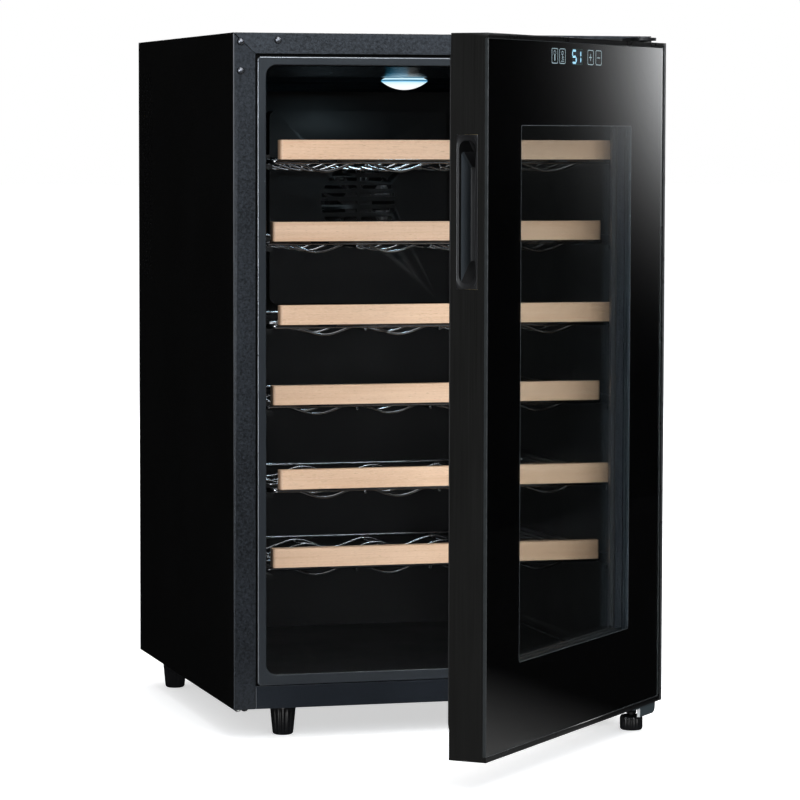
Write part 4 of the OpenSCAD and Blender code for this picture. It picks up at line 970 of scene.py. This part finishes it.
# scale key: a small ring over a stem with ticks
x = KEYS[1]
join(bm, frame_sweep(x - 2.2, x + 2.2, KEYZ + 1.4, KEYZ + 5.2, 1.9, [(0, GY + 0.03), (0.6, GY + 0.03), (0.6, GY + 0.09), (0, GY + 0.09)], 6))
join(bm, stroke((x, KEYZ + 1.6), (x - 0.6, KEYZ - 3.4), 0.9))
for dz in (-1.0, -3.0):
    join(bm, stroke((x + 0.6, KEYZ + dz), (x + 3.4, KEYZ + dz), 0.7))
join(bm, stroke((x - 3.4, KEYZ - 5.0), (x + 3.4, KEYZ - 5.0), 0.7))
add("key_marks", bm, "door", PRINT_LINE, True, None)
SEG = {"0": "abcdef", "1": "bc", "2": "abged", "3": "abgcd", "4": "fgbc", "5": "afgcd", "6": "afgedc", "7": "abc", "8": "abcdefg", "9": "abcdfg"}


def digit(ch, cx, cz, w=8.4, h=12.2, t=2.3):
    bm = bmesh.new()
    x0, x1, z0, zm, z1 = cx - w / 2, cx + w / 2, cz - h / 2, cz, cz + h / 2
    g = 0.45
    pos = {"a": ((x0 + g, z1), (x1 - g, z1)), "d": ((x0 + g, z0), (x1 - g, z0)), "g": ((x0 + g, zm), (x1 - g, zm)),
           "f": ((x0, zm + g), (x0, z1 - g)), "b": ((x1, zm + g), (x1, z1 - g)), "e": ((x0, z0 + g), (x0, zm - g)), "c": ((x1, z0 + g), (x1, zm - g))}
    for s in SEG[ch]:
        a, b = pos[s]
        d = Vector((b[0] - a[0], b[1] - a[1])).normalized()
        n = Vector((-d.y, d.x)) * t / 2
        A, B_ = Vector(a), Vector(b)
        e = d * t / 2
        pts = [A, A + e + n, B_ - e + n, B_, B_ - e - n, A + e - n]
        join(bm, flat([(p.x, p.y) for p in pts], GY + 0.12, GY + 0.24))
    return bm


bm = digit("5", -16.6, KEYZ, 9.4)
join(bm, digit("1", -4.4, KEYZ))
add("figures", bm, "door", CYAN, True, None)

# finger cup in the free end
HZ0, HZ1 = 490.0, 638.5


def cup_ring(D, ya, yb, za, zb, r, wave=0.0, seg=8, mid=13):
    """A rounded rectangle at depth D; its glass side may swing inwards."""
    pts = []
    x = DX0 + D

    def corner(cy, cz, a0):
        for i in range(seg + 1):
            a = math.radians(a0 + 90 * i / seg)
            pts.append((x, cy + r * math.cos(a), cz + r * math.sin(a)))

    corner(yb - r, zb - r, 0)
    corner(ya + r, zb - r, 90)
    for i in range(1, mid):
        t = i / mid
        pts.append((x, ya + wave * math.sin(math.pi * t) ** 0.8, zb - r + (za - zb + 2 * r) * t))
    corner(ya + r, za + r, 180)
    corner(yb - r, za + r, 270)
    for i in range(1, mid):
        t = i / mid
        pts.append((x, yb, za + r + (zb - za - 2 * r) * t))
    return pts


def cup():
    ya, yb = -276.0, -253.5
    R = [cup_ring(24.2, -274.0, -253.9, 521, 607, 2.5), cup_ring(24.2, -274.3, -253.7, 520, 608, 3.0), cup_ring(2.4, -274.4, -253.6, 493.5, 635, 3.0),
         cup_ring(2.35, ya, yb, HZ0, HZ1, 0.3), cup_ring(-0.15, ya, yb, HZ0, HZ1, 0.3), cup_ring(-0.4, ya + 0.25, yb - 0.25, HZ0 + 0.25, HZ1 - 0.25, 0.5),
         # rim of the scoop, wavy on the glass side
         cup_ring(-0.4, -275.6, -254.0, HZ0 + 0.9, HZ1 - 0.6, 9.2, 2.2), cup_ring(-0.28, -275.2, -254.35, HZ0 + 1.3, HZ1 - 1.0, 8.9, 2.2),
         cup_ring(0.15, -274.6, -254.9, HZ0 + 2.6, HZ1 - 2.4, 8.6, 1.7),
         # mouth, undercut on the cabinet side
         cup_ring(0.5, -273.3, -255.9, HZ0 + 5.2, HZ1 - 5.0, 8.2), cup_ring(1.0, -272.9, -256.1, HZ0 + 5.6, HZ1 - 5.4, 7.8),
         cup_ring(1.3, -273.0, -255.1, HZ0 + 5.4, HZ1 - 6.0, 7.0), cup_ring(4.6, -273.2, -255.0, HZ0 + 4.6, HZ1 - 14.5, 4.6), cup_ring(5.1, -273.2, -256.3, HZ0 + 4.4, HZ1 - 16.4, 3.2),
         cup_ring(5.6, -273.2, -256.5, HZ0 + 4.6, HZ1 - 16.9, 2.4), cup_ring(20.2, -273.4, -258.5, HZ0 + 22.2, HZ1 - 30.0, 1.8),
         cup_ring(21.2, -272.9, -259.1, HZ0 + 23.6, HZ1 - 31.0, 1.6), cup_ring(21.5, -271.5, -260.5, HZ0 + 26.0, HZ1 - 33.0, 1.4)]
    b = loops(R)
    b.normal_update()
    for f in b.faces:
        c = f.calc_center_median()
        D = c.x - DX0
        if f.normal.x > 0.3 and D > 2.2:
            continue
        # rim crests get the painted highlight bead, the cabinet side of the undercut the painted gap shade, the wall
        # facing the glass and the scoop's ends a lighter copy painted as lit
        if -0.42 < D < -0.27 and (c.y > -254.6 or c.y < -272.6) and f.normal.x > -0.995:
            f.material_index = 3
        elif 0.9 < D < 5.3 and c.y > -265 and HZ0 + 8 < c.z < HZ1 - 8:
            f.material_index = 2
        elif 5.2 < D < 21.3 and (f.normal.y < -0.5 or abs(f.normal.z) > 0.3 and c.y > -262):
            f.material_index = 1
    return b


add("handle_visual", cup(), "door", [M["cup_plastic"], CUP_WALL_LIT, GAP_SHADE, HIGHLIGHT_BEAD], True, 35, "handle_cup")

# ------------------------------------------------------------------ nodes that keep their CAD shape
KEEP = {r["node"]: r["material_slot"] for r in frame["record"]["subparts"]}
for n, ob in NODES.items():
    slot = KEEP.get(n)
    if slot in M:
        ob.data.materials.clear()
        ob.data.materials.append(M[slot])
        for p in ob.data.polygons:
            p.material_index = 0

for n in ("door_core", "door_inner_trim", "door_gasket", "door_magnets"):
    if n in NODES:
        NODES[n].visible_shadow = False
for n in ("door_inner_trim_visual", "door_seal", "spacer_visual"):
    if n in bpy.data.objects:
        bpy.data.objects[n].visible_shadow = False

# two bolts under the front left corner: one bright, one blackened
bm = cad_mesh("base_bolts")
for f in bm.faces:
    f.material_index = 0 if f.calc_center_median().x < -W2 + 9.25 else 1
bevel_sharp(bm, 0.15, 2, 40, 0.5)
add("base_bolts_visual", bm, "cabinet", [BOLT_BRIGHT, M["screw_black"]], smooth=40, node="base_bolts", weighted=True)

# ------------------------------------------------------------------ floor, light and camera
def stage_floor():
    bm = bmesh.new()
    s = 40.0
    vs = [bm.verts.new(p) for p in ((-s, -s, 0), (s, -s, 0), (s, s, 0), (-s, s, 0))]
    bm.faces.new(vs)
    me = bpy.data.meshes.new("floor")
    bm.to_mesh(me)
    bm.free()
    m = Mat("floor_paint", Roughness=0.9)
    n = m.noise(m.vec(), 3, 3)
    m.set("Base Color", m.mix(n, (0.90, 0.90, 0.905), (0.92, 0.92, 0.925)))
    m.set("Emission Color", (1.0, 1.0, 1.0))
    m.set("Emission Strength", 0.56)
    # mirrored in gloss and glass the floor is dark, as the world is
    lp = m.t.nodes.new("ShaderNodeLightPath")
    dark = m.t.nodes.new("ShaderNodeEmission")
    dark.inputs["Color"].default_value = (1, 1, 1, 1)
    t = m.math("MULTIPLY", m.span(m.xyz(m.vec(), 1), -0.24, -0.58, 0.0, 1.0), 1.0)
    far = m.span(m.xyz(m.vec(), 1), -1.5, -0.9, 0.0, 1.0)
    patch = m.math("MULTIPLY", m.math("MULTIPLY", m.math("POWER", t, 1.5), 0.32), far)
    patch = m.math("MULTIPLY", patch, m.span(m.xyz(m.vec(), 0), -0.14, 0.04, 0.28, 1.0))
    glow = m.math("ADD", patch, 0.004)
    for cx, cy, k in ((-0.196, -0.318, 3.5), (0.172, -0.372, 2.5)):
        dx = m.math("DIVIDE", m.math("SUBTRACT", m.xyz(m.vec(), 0), cx), 0.026)
        dy = m.math("DIVIDE", m.math("SUBTRACT", m.xyz(m.vec(), 1), cy), 0.046)
        d2 = m.math("ADD", m.math("MULTIPLY", dx, dx), m.math("MULTIPLY", dy, dy))
        glow = m.math("ADD", glow, m.math("MULTIPLY", m.math("EXPONENT", m.math("MULTIPLY", d2, -1.0)), k))
    bounced = m.math("GREATER_THAN", lp.outputs["Diffuse Depth"], 0.5)
    mirrored_ = m.math("GREATER_THAN", lp.outputs["Glossy Depth"], 0.5)
    m.t.links.new(m.math("ADD", m.math("MULTIPLY", glow, mirrored_), m.math("MULTIPLY", m.math("SUBTRACT", 1.0, mirrored_), 0.60)), dark.inputs["Strength"])
    mixs = m.t.nodes.new("ShaderNodeMixShader")
    m.t.links.new(m.math("MAXIMUM", mirrored_, bounced), mixs.inputs[0])
    m.t.links.new(m.p.outputs[0], mixs.inputs[1])
    m.t.links.new(dark.outputs[0], mixs.inputs[2])
    m.t.links.new(mixs.outputs[0], m.out.inputs["Surface"])
    me.materials.append(m.m)
    ob = bpy.data.objects.new("floor", me)
    SCENE.collection.objects.link(ob)


stage_floor()


def area(name, loc, target, size, power, colour=(1, 1, 1), sy=None, **vis):
    l = bpy.data.lights.new(name, "AREA")
    l.shape = "RECTANGLE"
    l.size, l.size_y = size, sy or size
    l.energy = power
    l.color = colour
    ob = bpy.data.objects.new(name, l)
    ob.location = loc
    ob.rotation_euler = (Vector(target) - Vector(loc)).to_track_quat("-Z", "Y").to_euler()
    SCENE.collection.objects.link(ob)
    for k, v in vis.items():
        setattr(ob, k, v)
    return ob


area("front", (0.9, -4.6, 2.1), (0, -0.2, 0.5), 2.6, 54, (0.88, 0.94, 1.0), 1.3)
area("key", (0.3, -3.0, 2.6), (0, -0.2, 0.4), 1.2, 40)
area("top", (0.3, -0.6, 3.4), (0, 0, 0), 2.4, 40)
area("back", (0.9, 3.6, 2.4), (0, 0.24, 0.4), 2.2, 90, sy=1.6)
area("side", (3.0, -1.6, 2.6), (0.23, 0.0, 0.4), 1.4, 22, sy=1.2)
area("rim", (-2.1, -3.8, 1.05), (-0.23, -0.24, 0.50), 0.5, 80, (0.92, 0.96, 1.0), 1.7, visible_diffuse=False)
lamp = bpy.data.lights.new("lamp_glow", "AREA")
lamp.shape = "DISK"
lamp.size = 0.05
lamp.energy = 0.16
lamp.color = (0.62, 0.86, 1.0)
lo = bpy.data.objects.new("lamp_glow", lamp)
lo.location = (-0.002, -0.088, 0.6848)
SCENE.collection.objects.link(lo)
lo.visible_camera = False
# the lamp's spill on the ceiling in front of it
spill = bpy.data.lights.new("lamp_spill", "AREA")
spill.shape = "DISK"
spill.size = 0.026
spill.energy = 0.0008
spill.color = (0.02, 0.46, 0.80)
so = bpy.data.objects.new("lamp_spill", spill)
so.location = (LAMP[0] * 0.001 - 0.018, LAMP[1] * 0.001 - 0.034, LAMP[2] * 0.001 - 0.006)
so.rotation_euler = Vector((0, -0.35, 1)).to_track_quat("-Z", "Y").to_euler()
SCENE.collection.objects.link(so)
so.visible_camera = False


def glow_card():
    """Soft gradient card that the door's glass mirrors, seen only by reflections."""
    t = Vector((-math.cos(A0), -math.sin(A0), 0))
    n = Vector((math.sin(A0), -math.cos(A0), 0))
    o = Vector((HX * 0.001, HY * 0.001, 0)) + n * 1.0
    me = bpy.data.meshes.new("glow_card")
    u0, u1, v0, v1 = -2.75, -1.55, -0.45, 1.25
    bm = bmesh.new()
    bm.faces.new([bm.verts.new(p) for p in ((u0, 0, v0), (u1, 0, v0), (u1, 0, v1), (u0, 0, v1))])
    bm.to_mesh(me)
    bm.free()
    ob = bpy.data.objects.new("glow_card", me)
    R = Matrix((t, n, Vector((0, 0, 1)))).transposed().to_4x4()
    ob.matrix_world = Matrix.Translation(o) @ R
    m = Mat("glow_card")
    m.t.nodes.remove(m.p)
    v = m.vec()
    pu = m.math("DIVIDE", m.math("ADD", m.xyz(v, 0), 2.4887), 1.677)
    pz = m.math("DIVIDE", m.math("ADD", m.xyz(v, 2), 0.43328), 1.677)
    a = m.math("MULTIPLY_ADD", m.math("MULTIPLY", pu, pu), 14.0, m.math("MULTIPLY", pu, 9.0))
    dz = m.math("SUBTRACT", 0.76, pz)
    b = m.math("MULTIPLY", m.math("MULTIPLY", dz, dz), 52.0)
    s = m.math("MULTIPLY", m.math("EXPONENT", m.math("MULTIPLY", m.math("ADD", a, b), -1.0)), 4.3)
    em = m.t.nodes.new("ShaderNodeEmission")
    em.inputs["Color"].default_value = (0.97, 0.985, 1.0, 1)
    m.t.links.new(s, em.inputs["Strength"])
    m.t.links.new(em.outputs[0], m.out.inputs["Surface"])
    me.materials.append(m.m)
    SCENE.collection.objects.link(ob)
    for k in ("visible_camera", "visible_diffuse", "visible_shadow", "visible_transmission"):
        setattr(ob, k, False)


glow_card()

world = bpy.data.worlds.new("studio")
SCENE.world = world
world.use_nodes = True
wt = world.node_tree
wt.nodes.clear()
wo = wt.nodes.new("ShaderNodeOutputWorld")
lp = wt.nodes.new("ShaderNodeLightPath")
bg1 = wt.nodes.new("ShaderNodeBackground")
bg2 = wt.nodes.new("ShaderNodeBackground")
bg3 = wt.nodes.new("ShaderNodeBackground")
bg1.inputs[0].default_value = (1, 1, 1, 1)
bg1.inputs[1].default_value = 1.0
bg2.inputs[0].default_value = (0.97, 0.985, 1.0, 1)
bg2.inputs[1].default_value = 0.62
bg3.inputs[0].default_value = (1, 1, 1, 1)
bg3.inputs[1].default_value = 0.006
def wmath(op, x, y):
    n = wt.nodes.new("ShaderNodeMath")
    n.operation = op
    for i, v in enumerate((x, y)):
        if hasattr(v, "node"):
            wt.links.new(v, n.inputs[i])
        else:
            n.inputs[i].default_value = v
    return n.outputs[0]


mirrored = wmath("GREATER_THAN", lp.outputs["Glossy Depth"], 0.5)
seen = wmath("LESS_THAN", wmath("ADD", lp.outputs["Diffuse Depth"], lp.outputs["Glossy Depth"]), 0.5)
mx = wt.nodes.new("ShaderNodeMixShader")
mx2 = wt.nodes.new("ShaderNodeMixShader")
wt.links.new(mirrored, mx2.inputs[0])
wt.links.new(bg2.outputs[0], mx2.inputs[1])
wt.links.new(bg3.outputs[0], mx2.inputs[2])
wt.links.new(seen, mx.inputs[0])
wt.links.new(mx2.outputs[0], mx.inputs[1])
wt.links.new(bg1.outputs[0], mx.inputs[2])
wt.links.new(mx.outputs[0], wo.inputs["Surface"])
world.cycles.sampling_method = "NONE"
SCENE.view_settings.view_transform = "Standard"
SCENE.view_settings.look = "None"

cam = bpy.data.cameras.new("camera")
cam.sensor_width = 36
cam.lens = 3708.116 * 36 / 800
cam.clip_end = 100
co = bpy.data.objects.new("camera", cam)
yaw, pitch, roll = math.radians(15.814), math.radians(4.118), math.radians(0.125)
fw = Vector((math.sin(yaw) * math.cos(pitch), math.cos(yaw) * math.cos(pitch), -math.sin(pitch)))
rt = Vector((math.cos(yaw), -math.sin(yaw), 0))
up = rt.cross(fw)
r2 = rt * math.cos(roll) + up * math.sin(roll)
u2 = -rt * math.sin(roll) + up * math.cos(roll)
mat3 = Matrix((r2, u2, -fw)).transposed().to_4x4()
co.matrix_world = Matrix.Translation((-1.116539, -4.008690, 0.639989)) @ mat3
SCENE.collection.objects.link(co)
SCENE.camera = co
